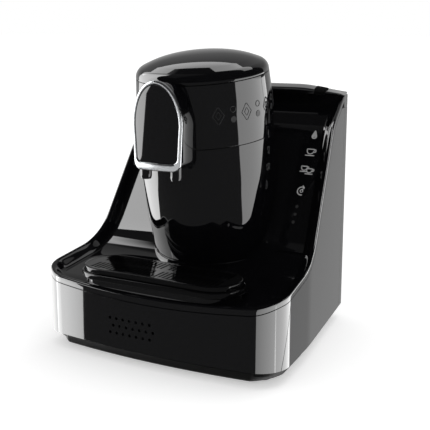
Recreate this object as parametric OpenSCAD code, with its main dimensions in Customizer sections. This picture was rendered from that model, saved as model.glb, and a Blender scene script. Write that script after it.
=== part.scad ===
// Electric turkish coffee maker: a gloss black housing whose serving deck sweeps up into a
// tall back, a round brewing tower leaning over the deck, a two-nozzle spout, a drip tray
// with a slotted grate and a lift-out water tank behind the tower.
// Front is -Y, up is +Z, origin on the table under the middle of the machine.

/* [Housing] */
// Half of the greatest width of the housing
half_w = 126.5; // [123:0.5:130]
// How far the front of the housing stands before the origin
front_y = 118; // [116:0.5:120]
// How far the back of the housing stands behind the origin
back_y = 118; // [116:0.5:120]
// Wall thickness of the moulded covers
wall = 2.5; // [2:0.1:3]
// Height of the lower edge of the covers above the table
skirt_z = 15; // [13:0.5:17]
// Thickness of the border that the deck lays on the covers
border_t = 5; // [4.5:0.1:5.5]
// Depth of the deck below its border
dish = 8.6; // [8.2:0.1:9]

/* [Deck profile] */
// Height of the serving deck's border at its front corners
deck_z = 76.5; // [75:0.5:78]
// Height of the top of the sloping back
top_z = 238; // [236:0.5:240]
// Angle of the sloping back above the level deck
slope_deg = 59.5; // [59:0.1:60]

/* [Tower] */
// Forward lean of the tower
lean = 8.5; // [8:0.5:9]
// Radius of the tower at its belly
tower_r = 66.4; // [66:0.1:67]
// Radius of the tower at its mouth, under the lid
mouth_r = 63.5; // [63:0.1:64]
// Wall thickness of the tower shells
tower_wall = 2.6; // [2:0.1:3]
// Rise of the lid's dome above the lid seam
dome_h = 19; // [18:0.5:20]

/* [Spout] */
// Half width of the spout face at its widest
spout_w = 26; // [25:0.5:27]
// Height of the lower edge of the spout face
spout_z = 180; // [178:0.5:182]
// Height of the spout arch above its widest line
arch_h = 39.5; // [37:0.5:41]
// Distance of each nozzle from the middle
nozzle_x = 16; // [15:0.5:17]
// Outer radius of a nozzle
nozzle_r = 5.2; // [4.8:0.1:5.6]

/* [Drip tray] */
// Half length between the round ends' centres
tray_l = 55; // [53:0.5:56]
// Radius of the round ends of the tray's rim
tray_r = 29.5; // [29:0.5:30]
// Distance of the tray's middle line before the origin
tray_y = 87.5; // [86.5:0.5:88]
// Height of the top of the grate
grate_z = 86.8; // [86:0.2:88]
// Pitch of the grate's slots
slot_pitch = 4.4; // [4:0.1:5]
// Width of one slot
slot_w = 2; // [1.6:0.1:2.2]

/* [Water tank] */
// Height of the tank's rim
tank_top = 226; // [224:0.5:226]
// Height of the shelf that the tank stands on
shelf_z = 93; // [91:0.5:94]

/* [Hidden] */
$fn = 96;
tiny = 0.01;
high = 260;         // taller than anything that is cut to an outline
seam = 0.4;         // gap at the visible seams between covers
rest_gap = 0.2;     // air under a part that lifts off

// ---- outlines -------------------------------------------------------------------------

function unit(v) = v / norm(v);
function left_of(v) = [-v.y, v.x];

// Points of an arc that rounds the corner b of the path a, b, c with radius r
function corner(a, b, c, r, n = 8) =
    let (u = unit(a - b), v = unit(c - b), half = acos(u * v) / 2)
    r == 0 ? [b] :
    let (m = b + unit(u + v) * r / sin(half), turn = 180 - 2 * half,
         side = sign(cross(b - a, c - b)), s = unit(b + u * r / tan(half) - m))
    [for (i = [0:n]) let (w = side * turn * i / n)
        m + r * [s.x * cos(w) - s.y * sin(w), s.x * sin(w) + s.y * cos(w)]];

// An open path through vertices [y, z, radius], its corners rounded
function rounded_path(v, n = 8) = [
    for (i = [0:len(v) - 1])
        for (p = i == 0 || i == len(v) - 1 ? [[v[i].x, v[i].y]] :
            corner([v[i-1].x, v[i-1].y], [v[i].x, v[i].y], [v[i+1].x, v[i+1].y], v[i].z, n)) p];

// A path moved sideways by d, to the right of its direction
function beside(path, d) = [
    for (i = [0:len(path) - 1])
        let (a = path[max(i - 1, 0)], b = path[min(i + 1, len(path) - 1)])
        path[i] - d * left_of(unit(b - a))];

// Shallow arc of the front and of the back: half width w, sagitta g, middle at y = m
function bow(w, g, m, n = 12) =
    let (r = (w * w + g * g) / (2 * abs(g)), t = asin(w / r))
    [for (i = [0:n]) let (k = -t + 2 * t * i / n) [r * sin(k), m + sign(g) * r * (1 - cos(k))]];

// Right half of the housing's plan, from the front arc's end to the back arc's end
front_half = 98;
back_half = 91;
bend = corner([half_w + 2, 9.7 - front_y], [half_w - 4.5, -28], [101.2, back_y - 4], 220, 6);
rear_corner = corner([half_w - 4.5, -28], [101.2, back_y - 4], [back_half, back_y - 2.7], 9, 6);
straight = rear_corner[0] - bend[6];
flank = concat(
    corner([front_half, 6 - front_y], [half_w + 2, 9.7 - front_y], [half_w - 4.5, -28], 29, 12),
    bend, [for (k = [1:9]) bend[6] + straight * k / 10], rear_corner);
mirrored = [for (i = [len(flank) - 1:-1:0]) [-flank[i].x, flank[i].y]];
rear_arc = bow(back_half, -2.7, back_y);
front_arc = bow(front_half, 6, -front_y);
outline = concat(front_arc, flank, [for (i = [len(rear_arc) - 1:-1:0]) rear_arc[i]], mirrored);

// The outline drawn in by d all round; where a corner is tighter than d the fold is left out
function drawn_in(d) = let (n = len(outline)) [
    for (i = [0:n - 1])
        let (a = outline[(i + n - 1) % n], b = outline[(i + 1) % n],
             q = outline[i] + d * left_of(unit(b - a)))
        if (min([for (p = outline) norm(q - p)]) > d - 0.3) q];

module plan(d = 0, z0 = 0, z1 = high)
    translate([0, 0, z0]) linear_extrude(z1 - z0) polygon(d == 0 ? outline : drawn_in(d));

// Side view of the border: front fall, level deck, sloping back, top
slope_foot = [-20.5, 91];
slope_run = 72.5;
slope_head = slope_foot + slope_run * [1, tan(slope_deg)];
profile = rounded_path([
    [-150, deck_z - 32.6, 0], [-106.8, deck_z, 60], [slope_foot.x, slope_foot.y, 57],
    [slope_head.x, slope_head.y, 30], [93.5, top_z, 20], [140, top_z + 6.5, 0]], 10);

// Everything between two depths under the profile, as wide as the housing
module under_profile(d0, d1) {
    upper = beside(profile, d0);
    lower = beside(profile, d1);
    rotate([90, 0, 90]) translate([0, 0, -150]) linear_extrude(300)
        polygon(concat(upper, [for (i = [len(lower) - 1:-1:0]) lower[i]]));
}
module below_profile(d)
    rotate([90, 0, 90]) translate([0, 0, -150]) linear_extrude(300)
        polygon(concat([[140, -10], [-150, -10]], beside(profile, d)));
module above_profile(d)
    rotate([90, 0, 90]) translate([0, 0, -150]) linear_extrude(300)
        polygon(concat([[140, 400], [-150, 400]], beside(profile, d)));

module slab(x0, x1, y0, y1, z0, z1) translate([x0, y0, z0]) cube([x1 - x0, y1 - y0, z1 - z0]);

// Round-ended bar lying along X about the middle of the tray
module stadium(r, z0, z1, l = tray_l) translate([0, -tray_y, z0]) {
    for (s = [-1, 1]) translate([s * l, 0, 0]) cylinder(r = r, h = z1 - z0);
    translate([-l, -r, 0]) cube([2 * l, 2 * r, z1 - z0]);
}

// ---- housing --------------------------------------------------------------------------

screws = [[-80, -76], [80, -76], [-60, -88], [60, -88], [-85, 64], [85, 64]];
feet = [[-99, -80], [99, -80], [-77, 84], [77, 84]];
pan_z = 3;
boss_r = 4.6;

// Round-cornered block that the pan's belly is kept within, drawn in by d
module belly(d, z0, z1) translate([0, 0, z0]) linear_extrude(z1 - z0) polygon(concat(
    corner([0, 5 - front_y + d], [120 - d, 5 - front_y + d], [120 - d, 60], 46 - d),
    corner([120 - d, 60], [120 - d, 108], [0, 108], 30),
    corner([0, 108], [d - 120, 108], [d - 120, 60], 30),
    corner([d - 120, 60], [d - 120, 5 - front_y + d], [0, 5 - front_y + d], 46 - d)));

module base_pan() color("#141414") difference() {
    union() {
        difference() {
            union() {
                intersection() { plan(8.5, pan_z, 6); belly(2, 0, 20); }
                intersection() { plan(6.5, pan_z + 2, 12); belly(0, 0, 20); }
                plan(8, 8, skirt_z + 2.4);
                plan(wall + 0.3, skirt_z + 0.2, skirt_z + 2.4);
            }
            plan(16.5, 6.5, 30);
            plan(10.5, 10.5, 30);
        }
        for (p = screws) translate([p.x, p.y, 6]) cylinder(r = boss_r, h = skirt_z - 3.6);
    }
    for (p = screws) translate([p.x, p.y, 0]) cylinder(r = 2.1, h = 30);
    for (p = screws) translate([p.x, p.y, 0]) cylinder(r = 4.1, h = 6.6);
    for (p = feet) translate([p.x, p.y, 0]) cylinder(r = 3.2, h = 12);
}

module rubber_feet() color("#1b1b1b") for (p = feet) translate([p.x, p.y, 0]) {
    cylinder(r = 9, h = pan_z - 0.05);
    cylinder(r = 3, h = pan_z + 4);
    translate([0, 0, 6.6]) cylinder(r = 4.5, h = 2);
}

module base_screws() color("#9a9a9a") for (p = screws) translate([p.x, p.y, 0]) difference() {
    union() {
        translate([0, 0, 4.6]) cylinder(r = 3.8, h = 2);
        translate([0, 0, 6.5]) cylinder(r = 1.8, h = 16);
    }
    cylinder(r = 1.2, h = 5.6, $fn = 6);
}

// The ring of wall between the skirt and the deck's border
module cover_ring() intersection() {
    difference() {
        plan(0, skirt_z, high);
        plan(wall, 0, high);
    }
    below_profile(border_t + 0.2);
    slab(-150, 150, -150, 150, 0, 226);
}

// Screw boss inside a cover, tied to the wall behind it
module cover_boss(p, to) difference() {
    hull() {
        translate([p.x, p.y, skirt_z + 2.6]) cylinder(r = boss_r, h = 12, $fn = 32);
        translate([to.x, to.y, skirt_z + 2.6]) cylinder(r = 1.2, h = 12, $fn = 16);
    }
    translate([p.x, p.y, 0]) cylinder(r = 1.85, h = 40);
}

seam_lean = 0.227;
rear_seam_y = 96;
dot_pitch = 7.3;
dot_r = 1.45;

// Front of the housing, up to the corner seams, which lean backwards
module front_zone(grow = 0) rotate([90, 0, 90]) translate([0, 0, -150]) linear_extrude(300)
    polygon([[-150, 0], [-97.3 + grow, 0], [-97.3 + 100 * seam_lean + grow, 100], [-150, 100]]);

module sound_holes() for (row = [0:2], i = [0:6])
    translate([-39 + (row % 2) * dot_pitch / 2 + i * dot_pitch, -100, 29.5 + 7 * row])
        rotate([90, 0, 0]) cylinder(r = dot_r, h = 30);

module front_cover() color("#0d0d0e") difference() {
    union() {
        intersection() { cover_ring(); front_zone(); }
        for (i = [2, 3]) cover_boss(screws[i], [screws[i].x, -front_y + 4]);
    }
    sound_holes();
}

module side_cover(s) difference() {
    union() {
        intersection() {
            cover_ring();
            if (s < 0) slab(-150, -60, -150, rear_seam_y, 0, high);
            else slab(60, 150, -150, rear_seam_y, 0, high);
        }
        cover_boss(screws[s < 0 ? 0 : 1], [s * 124.4, -80]);
        cover_boss(screws[s < 0 ? 4 : 5], [s * 107, 64]);
    }
    front_zone(seam);
}
module side_cover_left() color("#0d0d0e") side_cover(-1);
module side_cover_right() color("#0d0d0e") side_cover(1);

gland = [-70, 34];
module rear_cover() color("#101011") difference() {
    intersection() {
        cover_ring();
        slab(-150, 150, rear_seam_y + seam, 150, 0, high);
    }
    for (i = [0:8]) slab(20 + 6 * i, 23 + 6 * i, 98, 130, 34, 62);
    translate([gland.x, 80, gland.y]) rotate([-90, 0, 0]) cylinder(r = 7.1, h = 50);
}

// One step of the dish inside the border; it stops at the riser under the tank lid
module dish_cut(d, depth) intersection() {
    plan(d, 40, 400);
    above_profile(depth);
    slab(-150, 150, -150, lid_front - 2.5, 0, 400);
}
module deck_shell() color("#0a0a0b") difference() {
    union() {
        intersection() { plan(0, 40); under_profile(0, border_t); }
        intersection() { plan(wall + 0.2, 40); under_profile(1, 11); }
        intersection() {
            on_tower() tube(foot_s - 13, foot_s - 0.2, foot_r + 2.5, foot_r - 8);
            slab(-90, 90, -80, 40, 70, 110);
        }
    }
    dish_cut(4.5, 4);
    dish_cut(8, 6.8);
    dish_cut(12, dish);
    difference() {
        intersection() { plan(5.4, 0, 400); below_profile(9); }
        plan(17.5, 0, 400);
    }
    stadium(well_r + 0.03, 40, 120);
    on_tower() tower_body(0.3, foot_s, 60);
    on_tower() cylinder(r = foot_r - 8, h = 260, center = true);
    slab(-150, 150, lid_front - 0.4, 150, 0, 400);
    for (u = led_u) on_slope(led_x, u) cylinder(r = 1.7, h = 30, center = true);
}

// ---- tower ----------------------------------------------------------------------------

tower_base = [0, -11, 256];      // point on the tower's axis, just below the lid seam
lid_s = 7;                        // lid seam, along the axis
collar_s = -51;                   // seam between collar and barrel
foot_s = -164;                    // foot of the barrel
foot_r = 60.5;

module on_tower() translate(tower_base) rotate([lean, 0, 0]) children();
module tube(s0, s1, r, bore) translate([0, 0, s0]) difference() {
    cylinder(r = r, h = s1 - s0);
    translate([0, 0, -1]) cylinder(r = bore, h = s1 - s0 + 2);
}

// Radius and height pairs up the outside of the tower, from foot to mouth
tower_side = rounded_path([[foot_r, foot_s, 0], [tower_r - 1, -132, 60], [tower_r, -90, 0],
    [tower_r - 1, -30, 0], [tower_r - 1, -16, 60], [mouth_r, lid_s, 0]], 6);
function in_range(p, a, b) = [for (q = p) if (q.y > a && q.y < b) q];
function side_at(s) = lookup(s, [for (q = tower_side) [q.y, q.x]]);
function tower_band(a, b) = concat([[side_at(a), a]], in_range(tower_side, a, b), [[side_at(b), b]]);

module tower_body(grow, a, b) rotate_extrude()
    polygon(concat([[0, b], [0, a]], [for (q = tower_band(a, min(b, lid_s))) [q.x + grow, q.y]],
        b > lid_s ? [[mouth_r + grow, b]] : []));
module tower_ring(a, b, t) rotate_extrude()
    polygon(concat(tower_band(a, b),
        [for (i = [len(tower_band(a, b)) - 1:-1:0]) tower_band(a, b)[i] - [t, 0]]));

pipe_s = -58;
pipe_r = 3.6;
drain_y = -40;

module tower_barrel() color("#0d0d0e") on_tower() difference() {
    tower_ring(foot_s, collar_s - seam, tower_wall);
    translate([0, 0, pipe_s]) rotate([90, 0, 0]) cylinder(r = pipe_r + 0.6, h = 90);
}

hinge = [70, 2];                  // lid hinge axis, behind the collar: [y, s]
hinge_r = 4.8;
pin_r = 2;
ear_x = 14;

module tower_collar() color("#0d0d0e") on_tower() difference() {
    union() {
        tower_ring(collar_s, lid_s - 0.2, tower_wall);
        tube(-7.5, -5, mouth_r, 56);
        for (s = [-1, 1]) translate([s * (ear_x + 3), 0, 0]) {
            translate([-3, hinge.x, hinge.y]) rotate([0, 90, 0]) cylinder(r = hinge_r, h = 6);
            slab(-3, 3, 62, hinge.x, hinge.y - hinge_r, hinge.y + 2);
        }
    }
    translate([-40, hinge.x, hinge.y]) rotate([0, 90, 0]) cylinder(r = pin_r + 0.02, h = 80);
}

lid_outer = rounded_path([[mouth_r, lid_s + 0.3, 0], [mouth_r - 0.6, lid_s + 8.2, 10.5],
    [39.8, lid_s + dome_h - 2, 60], [0, lid_s + dome_h + 1.7, 0]], 10);
module tower_lid() color("#0d0d0e") on_tower() difference() {
    union() {
        difference() {
            rotate_extrude() polygon(concat([[0, lid_s + 0.3]], lid_outer));
            rotate_extrude() polygon(concat([[0, lid_s]],
                [for (p = lid_outer) [max(p.x - 2.6, 0), p.y - 2.4]]));
        }
        for (k = [30, 150, 270]) rotate(k) translate([40, 0, 10.2]) cylinder(r = 3.5, h = 10.6);
        slab(-ear_x + 0.5, ear_x - 0.5, 61.5, hinge.x + 4, lid_s + 0.6, lid_s + 5);
        slab(-ear_x + 0.5, ear_x - 0.5, hinge.x - 3.5, hinge.x + 4, hinge.y, lid_s + 5);
        translate([-ear_x + 0.5, hinge.x, hinge.y]) rotate([0, 90, 0])
            cylinder(r = hinge_r - 0.2, h = 2 * ear_x - 1);
    }
    translate([-40, hinge.x, hinge.y]) rotate([0, 90, 0]) cylinder(r = pin_r + 0.05, h = 80);
}
module lid_liner() color("#c9c9c9") on_tower() tube(8.6, 10.2, 58.4, 5.4);
module lid_seal() color("#5c5c5c") on_tower() tube(0.3, 8.6, 58.4, 56);
module foam_sensor() color("#d8d8d8") on_tower() {
    translate([0, 0, -6]) cylinder(r = 2.4, h = 14);
    translate([0, 0, 8]) cylinder(r = 5.2, h = 8);
}
module lid_hinge_pin() color("#b5b5b5") on_tower()
    translate([-ear_x - 6, hinge.x, hinge.y]) rotate([0, 90, 0]) cylinder(r = pin_r, h = 2 * ear_x + 12);

// ---- brewing unit, hung in the tower ----------------------------------------------------

chamber_r = 50;
chamber_floor = -42;
module at_drain() translate([0, drain_y, 0]) children();

module brew_chamber() color("#c4c6c8") on_tower() difference() {
    union() {
        translate([0, 0, chamber_floor - 2]) cylinder(r = chamber_r, h = -chamber_floor + 2 - 2);
        translate([0, 0, -4.8]) cylinder(r = 60, h = 2);
        at_drain() translate([0, 0, -50]) cylinder(r = 5.5, h = 8);
    }
    translate([0, 0, chamber_floor]) cylinder(r = chamber_r - 1.2, h = 60);
    at_drain() translate([0, 0, -60]) cylinder(r = 3.5, h = 30);
    translate([0, 30, -16]) rotate([-90, 0, 0]) cylinder(r = 2, h = 30);
}
module chamber_jacket() color("#2b2b2d") on_tower() difference() {
    union() {
        tube(-94, -7.7, 54, 52.4);
        tube(-10, -7.7, 61, 52.4);
        tube(-96, -93.9, 54, 14);
        for (k = [45, 135, 225, 315]) rotate(k) translate([53.5, -2, -90]) cube([8, 4, 70]);
    }
    translate([0, 0, pipe_s]) rotate([90, 0, 0]) cylinder(r = pipe_r + 0.6, h = 90);
    translate([0, 30, -16]) rotate([-90, 0, 0]) cylinder(r = 3.4, h = 30);
}
module heater_plate() color("#8d8f92") on_tower() {
    tube(-49, -44.2, 31, 8);
    translate([0, 0, -51]) rotate_extrude() translate([20, 0]) circle(r = 3, $fn = 32);
    for (x = [-20, 20]) translate([x, 0, -62]) cylinder(r = 2.5, h = 12);
}
module temperature_sensor() color("#dcdcdc") on_tower() {
    translate([0, 0, -58]) cylinder(r = 3.5, h = 13.8);
    translate([0, 0, -62]) cylinder(r = 5, h = 5);
}
module thermal_fuse() color("#e6ddc8") on_tower() slab(-8, 8, 6.5, 12.5, -54.5, -49.1);
module outlet_valve() color("#3a3a3c") on_tower() difference() {
    union() {
        at_drain() translate([0, 0, -66]) cylinder(r = 8, h = 15.9);
        translate([0, drain_y, pipe_s]) rotate([90, 0, 0]) cylinder(r = 5, h = 10);
    }
    at_drain() translate([0, 0, -70]) cylinder(r = 4, h = 30);
    translate([0, drain_y, pipe_s]) rotate([90, 0, 0]) cylinder(r = 2.5, h = 30);
}
module valve_coil() color("#7d4a26") on_tower() at_drain() difference() {
    translate([0, 0, -92]) cylinder(r = 12, h = 25.9);
    translate([0, 0, -90]) cylinder(r = 4, h = 40);
}
module outlet_plunger() color("#b0b2b4") on_tower() at_drain() translate([0, 0, -84])
    cylinder(r = 3.95, h = 31);

manifold = [-87.2, 187.7];          // centre line of the manifold: [y, z]
manifold_r = 4.6;
manifold_half = 19;
nozzle_z = 171;                     // mouths of the nozzles

// A rod along the manifold's centre line, from -half to half
module along_manifold(r, half) translate([-half, manifold.x, manifold.y]) rotate([0, 90, 0])
    cylinder(r = r, h = 2 * half);
module outlet_pipe() color("#b7b7b7") difference() {
    on_tower() translate([0, drain_y - 10, pipe_s]) rotate([90, 0, 0]) difference() {
        cylinder(r = pipe_r, h = 36);
        translate([0, 0, -1]) cylinder(r = 2.3, h = 60);
    }
    along_manifold(manifold_r + 0.05, 30);
}
module outlet_manifold() color("#2f2f31") difference() {
    along_manifold(manifold_r, manifold_half);
    along_manifold(3.1, manifold_half - 1.5);
    on_tower() translate([0, drain_y, pipe_s]) rotate([90, 0, 0]) cylinder(r = 2.3, h = 47);
    for (s = [-1, 1]) translate([s * nozzle_x, manifold.x, 170]) cylinder(r = 1.8, h = 17);
}
module nozzles() color("#1a1a1b") difference() {
    for (s = [-1, 1]) translate([s * nozzle_x, manifold.x, nozzle_z]) cylinder(r = nozzle_r, h = 14.2);
    for (s = [-1, 1]) translate([s * nozzle_x, manifold.x, 160]) cylinder(r = 3.4, h = 40);
    along_manifold(manifold_r + 0.02, 30);
}

// ---- spout ------------------------------------------------------------------------------

// Arch of the spout face: straight sides that open upwards, half an ellipse above.
// It is drawn in by d, and by b at its foot.
function arch(d, b, r = 8) =
    let (w = spout_w - d, foot = spout_w - 2 - d, z = spout_z + b, mid = spout_z + 40)
    concat(corner([0, z], [foot, z], [w, mid], r, 6),
        [for (t = [0:7.5:180]) [w * cos(t), mid + (arch_h - d) * sin(t)]],
        corner([-w, mid], [-foot, z], [0, z], r, 6));
module arch_bar(d, b, y0, y1, r = 8) translate([0, y1, 0]) rotate([90, 0, 0])
    linear_extrude(y1 - y0) polygon(arch(d, b, r));
// The face is rounded across its width
module face_round(y, r = 100) translate([0, y + r, 0]) cylinder(r = r, h = 400, $fn = 180);

spout_face = -97;
module spout_frame() color("#d4d6d8") intersection() {
    face_round(spout_face);
    difference() {
        arch_bar(0, 0, -100, -92.6);
        arch_bar(3.2, 7, -102, -90, 5);
    }
}
module spout_insert() color("#0b0b0c") intersection() {
    face_round(spout_face + 0.8);
    arch_bar(3.4, 7.2, -100, -92.6, 5);
}
module spout_housing() color("#0d0d0e") difference() {
    arch_bar(1.5, 0.5, -92.4, -55);
    difference() {
        arch_bar(3.7, 2, -94, -50, 4);
        slab(-40, 40, -91, -88, 200, 210);
    }
    on_tower() tower_body(0.3, foot_s, 6.5);
    on_tower() cylinder(r = mouth_r + 0.8, h = 60);
    for (s = [-1, 1]) translate([s * nozzle_x, manifold.x, 160]) cylinder(r = nozzle_r + 0.05, h = 30);
}

// ---- drip tray --------------------------------------------------------------------------

rim_z = grate_z - 10.8;
well_r = tray_r - 3.9;
well_floor = 61;
well_wall = 1.5;

// Cup under the deck, bonded into its opening, that the tray's basin hangs in
module tray_well() color("#0a0a0b") difference() {
    stadium(well_r, well_floor - well_wall, rim_z - rest_gap);
    stadium(well_r - well_wall, well_floor, 120);
}
module drip_tray() color("#0f0f10") difference() {
    union() {
        stadium(well_r - 1.9, well_floor + rest_gap, rim_z + 1);
        stadium(tray_r, rim_z, grate_z - 5);
    }
    stadium(well_r - 3.4, 63, 100);
    stadium(tray_r - 2, rim_z + 2, 100);
}
module drip_grate() color("#101011") difference() {
    union() {
        stadium(tray_r - 2.5, grate_z - 4.5, grate_z);
        stadium(tray_r - 2.3, rim_z + 2 + rest_gap, grate_z - 4.4);
    }
    stadium(tray_r - 4, 70, grate_z - 2.5);
    for (i = [-16:16], row = [-1, 1])
        if (norm([max(abs(i * slot_pitch) - tray_l, 0), 21]) < tray_r - 4.5 && i != 0)
            slab(i * slot_pitch - slot_w / 2, i * slot_pitch + slot_w / 2,
                 -tray_y + (row > 0 ? 3.5 : -21), -tray_y + (row > 0 ? 21 : -3.5), 78, 100);
}

// ---- water tank -------------------------------------------------------------------------

lid_front = 93;
valve_at = [0, 104];
module water_tank() color("#3c4248", 0.6) {
    difference() {
        intersection() {
            plan(4.6, shelf_z + rest_gap, tank_top);
            slab(-150, 150, lid_front + 1.4, 150, 0, high);
        }
        intersection() {
            plan(6.6, shelf_z + 2.6, high);
            slab(-150, 150, lid_front + 3.4, 150, 0, high);
        }
        translate([valve_at.x, valve_at.y, 80]) cylinder(r = 4.1, h = 30);
    }
    // Bridge over the valve, that its spring pushes against
    translate([valve_at.x, valve_at.y - 2, 0]) {
        slab(-10, 10, 0, 4, shelf_z + 14.3, shelf_z + 16);
        for (s = [-1, 1]) slab(s * 9 - 1, s * 9 + 1, 0, 4, shelf_z + 2.5, shelf_z + 16);
    }
}

// The lid is a bar across the back: its lip overhangs the riser, its top is crowned
lid_split = 238.6;                // joint between the lid's cap and the frame under it
frame_z = 226.2;
lid_side = rounded_path([[lid_front - 4, lid_split, 0], [lid_front - 4.4, 244.5, 4], [101, 248.6, 14],
    [back_y, 244.5, 9], [back_y + 2, frame_z, 0], [lid_front + 0.2, frame_z, 0],
    [lid_front + 0.2, lid_split, 0]], 6);
lid_crown = rounded_path([[-130, 205, 0], [-103.5, 240.8, 12], [-60, 248.7, 120],
    [60, 248.7, 120], [103.5, 240.8, 12], [130, 205, 0]], 6);
module lid_form() intersection() {
    plan(0, 200, 300);
    rotate([90, 0, 90]) translate([0, 0, -150]) linear_extrude(300) polygon(lid_side);
    translate([0, 150, 0]) rotate([90, 0, 0]) linear_extrude(100) polygon(lid_crown);
}
module tank_lid() color("#0d0d0e") difference() {
    intersection() {
        lid_form();
        slab(-150, 150, 80, 150, lid_split, 260);
    }
    slab(-90, 90, lid_front + 2.8, 112, 230, lid_split + 2.6);
}
// The frame's inner flange lies on the tank's rim
module tank_lid_frame() color("#0d0d0e") difference() {
    intersection() {
        lid_form();
        slab(-150, 150, 80, 150, 200, lid_split - 0.02);
    }
    intersection() {
        plan(3, 200, 300);
        slab(-150, 150, lid_front + 2.8, 150, frame_z + 1.8, 260);
    }
    intersection() {
        plan(7.5, 200, 300);
        slab(-150, 150, lid_front + 4.6, 150, 200, 260);
    }
}
tab_x = [73, 85];
module tank_lid_tab() color("#1a1a1a") difference() {
    intersection() {
        slab(tab_x[0], tab_x[1], 80, 99, lid_split + 0.6, 260);
        translate([0, -1.6, 1.4]) lid_form();
    }
    lid_form();
    translate([0, -0.1, 0.1]) lid_form();
}
module tank_valve() color("#d0d0d0") translate([valve_at.x, valve_at.y, 0]) {
    translate([0, 0, shelf_z + 0.6]) cylinder(r = 2, h = 10.4);
    translate([0, 0, shelf_z + 4.2]) cylinder(r = 6, h = 2);
}
module tank_valve_spring() color("#a8a8a8") translate([valve_at.x, valve_at.y, shelf_z + 6.3])
    difference() {
        cylinder(r = 4.5, h = 8);
        translate([0, 0, -1]) cylinder(r = 3.3, h = 10);
    }
module tank_valve_seal() color("#8c3b2a") translate([valve_at.x, valve_at.y, shelf_z + 2.7])
    difference() {
        cylinder(r = 6, h = 1.4);
        translate([0, 0, -1]) cylinder(r = 3.6, h = 4);
    }
module tank_shelf() color("#202022") difference() {
    union() {
        intersection() {
            plan(wall + 0.2, shelf_z - 3, shelf_z);
            slab(-150, 150, lid_front - 1, 150, 0, high);
        }
        for (s = [-1, 1]) slab(s * 60 - 5, s * 60 + 5, 93, 98, 6.5, shelf_z - 2.9);
    }
    translate([valve_at.x, valve_at.y, 80]) cylinder(r = 8.1, h = 30);
}
module tank_coupling() color("#303033") translate([valve_at.x, valve_at.y, 0]) difference() {
    union() {
        translate([0, 0, 80]) cylinder(r = 8, h = shelf_z - 80);
        translate([0, 0, 80]) cylinder(r = 10, h = 9.9);
        translate([0, 0, 74]) cylinder(r = 3.4, h = 7);
    }
    translate([0, 0, 84]) cylinder(r = 6.2, h = 20);
    translate([0, 0, 70]) cylinder(r = 1.8, h = 30);
}

// ---- pump, hoses and electrics ------------------------------------------------------------

pump_at = [24, 71, 45];
pump_r = 15;
module pump() color("#6d7277") translate(pump_at) rotate([0, 90, 0]) {
    cylinder(r = pump_r, h = 26);
    translate([0, 0, 26]) cylinder(r = 12, h = 26);
    translate([0, 0, -7]) cylinder(r = 4, h = 8);
    translate([0, 0, 51]) cylinder(r = 4, h = 8);
}
module pump_mounts() color("#2a2a2a") difference() {
    for (x = [28, 62]) slab(x, x + 8, 57, 85, 6.5, 40);
    translate(pump_at) rotate([0, 90, 0]) cylinder(r = pump_r + 0.1, h = 26.2);
    translate(pump_at) rotate([0, 90, 0]) cylinder(r = 12.1, h = 80);
}

// A hose: straight runs joined by balls
module run(p, r) for (i = [0:len(p) - 2]) let (d = p[i + 1] - p[i]) {
    translate(p[i]) rotate([0, acos(d.z / norm(d)), atan2(d.y, d.x)]) cylinder(r = r, h = norm(d), $fn = 32);
    if (i > 0) translate(p[i]) sphere(r = r + 0.05, $fn = 32);
}
hose_r = 3.2;
suction_route = [[valve_at.x, valve_at.y, 73.9], [0, 104, 62], [88, 104, 62], [92, 71, 45], [83.1, 71, 45]];
module suction_hose() color("#cfd3d4") run(suction_route, hose_r);
inlet_s = -16;
up = [0, -sin(lean), cos(lean)];
back = [0, cos(lean), sin(lean)];
// A place behind the tower's axis, at a height along it
function riser(s, r) = tower_base + s * up + r * back;
delivery_route = [pump_at + [-7.1, 0, 0], [0, 71, 45], riser(foot_s - 20, 48.5),
    riser(foot_s + 4, 48.5), riser(-125, 58.2), riser(inlet_s, 58.2), riser(inlet_s, 50.2)];
module delivery_hose() color("#cfd3d4") run(delivery_route, 2.8);

board = [-87, -28, -12, 50];
module control_board() color("#1f5a35") {
    slab(board[0], board[1], board[2], board[3], 20, 21.6);
    for (x = [-82, -33], y = [-7, 45]) translate([x, y, 6.5]) cylinder(r = 3, h = 14);
    slab(-82, -54, 8, 32, 21.5, 46);
    slab(-48, -38, 0, 20, 21.5, 34);
    translate([-44, 40, 21.5]) cylinder(r = 5, h = 20);
    translate([-62, 42, 21.5]) cylinder(r = 5, h = 16);
    slab(-78, -58, -9, 1, 21.5, 32);
}
module sounder() color("#161616") translate([-15, -front_y + 4.5, 36]) rotate([-90, 0, 0]) difference() {
    cylinder(r = 16, h = 7);
    translate([0, 0, -1]) cylinder(r = 13.5, h = 6);
}

module on_slope(x, u) translate([x, slope_foot.x, slope_foot.y]) rotate([slope_deg, 0, 0])
    translate([0, u, 0]) children();
led_u = [41.5, 49.5, 57.5];
led_x = 88.5;
panel_x = [78.5, 96];
module touch_panel() color("#0b0b0c") difference() {
    intersection() {
        plan(12.6, 60, 400);
        under_profile(dish - 1.3, dish - 0.1);
        slab(panel_x[0], panel_x[1] + 20, -10, 58, 60, 300);
    }
    for (u = led_u) on_slope(led_x, u) cylinder(r = 1.7, h = 40, center = true);
}
module touch_board() color("#1f5a35") intersection() {
    under_profile(12.2, 13.8);
    slab(panel_x[0] + 2, panel_x[1] - 3, 0, 52, 60, 300);
}
module led_guides() color("#e8eef2") for (u = led_u) on_slope(led_x, u)
    translate([0, 0, -12.1]) cylinder(r = 1.6, h = 4.7);
module cord_gland() color("#151515") translate([gland.x, 0, gland.y]) rotate([-90, 0, 0]) difference() {
    union() {
        translate([0, 0, 108]) cylinder(r = 7, h = 11);
        translate([0, 0, 109.2]) cylinder(r = 9.5, h = 4);
    }
    translate([0, 0, 100]) cylinder(r = 3.6, h = 40);
}

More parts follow.
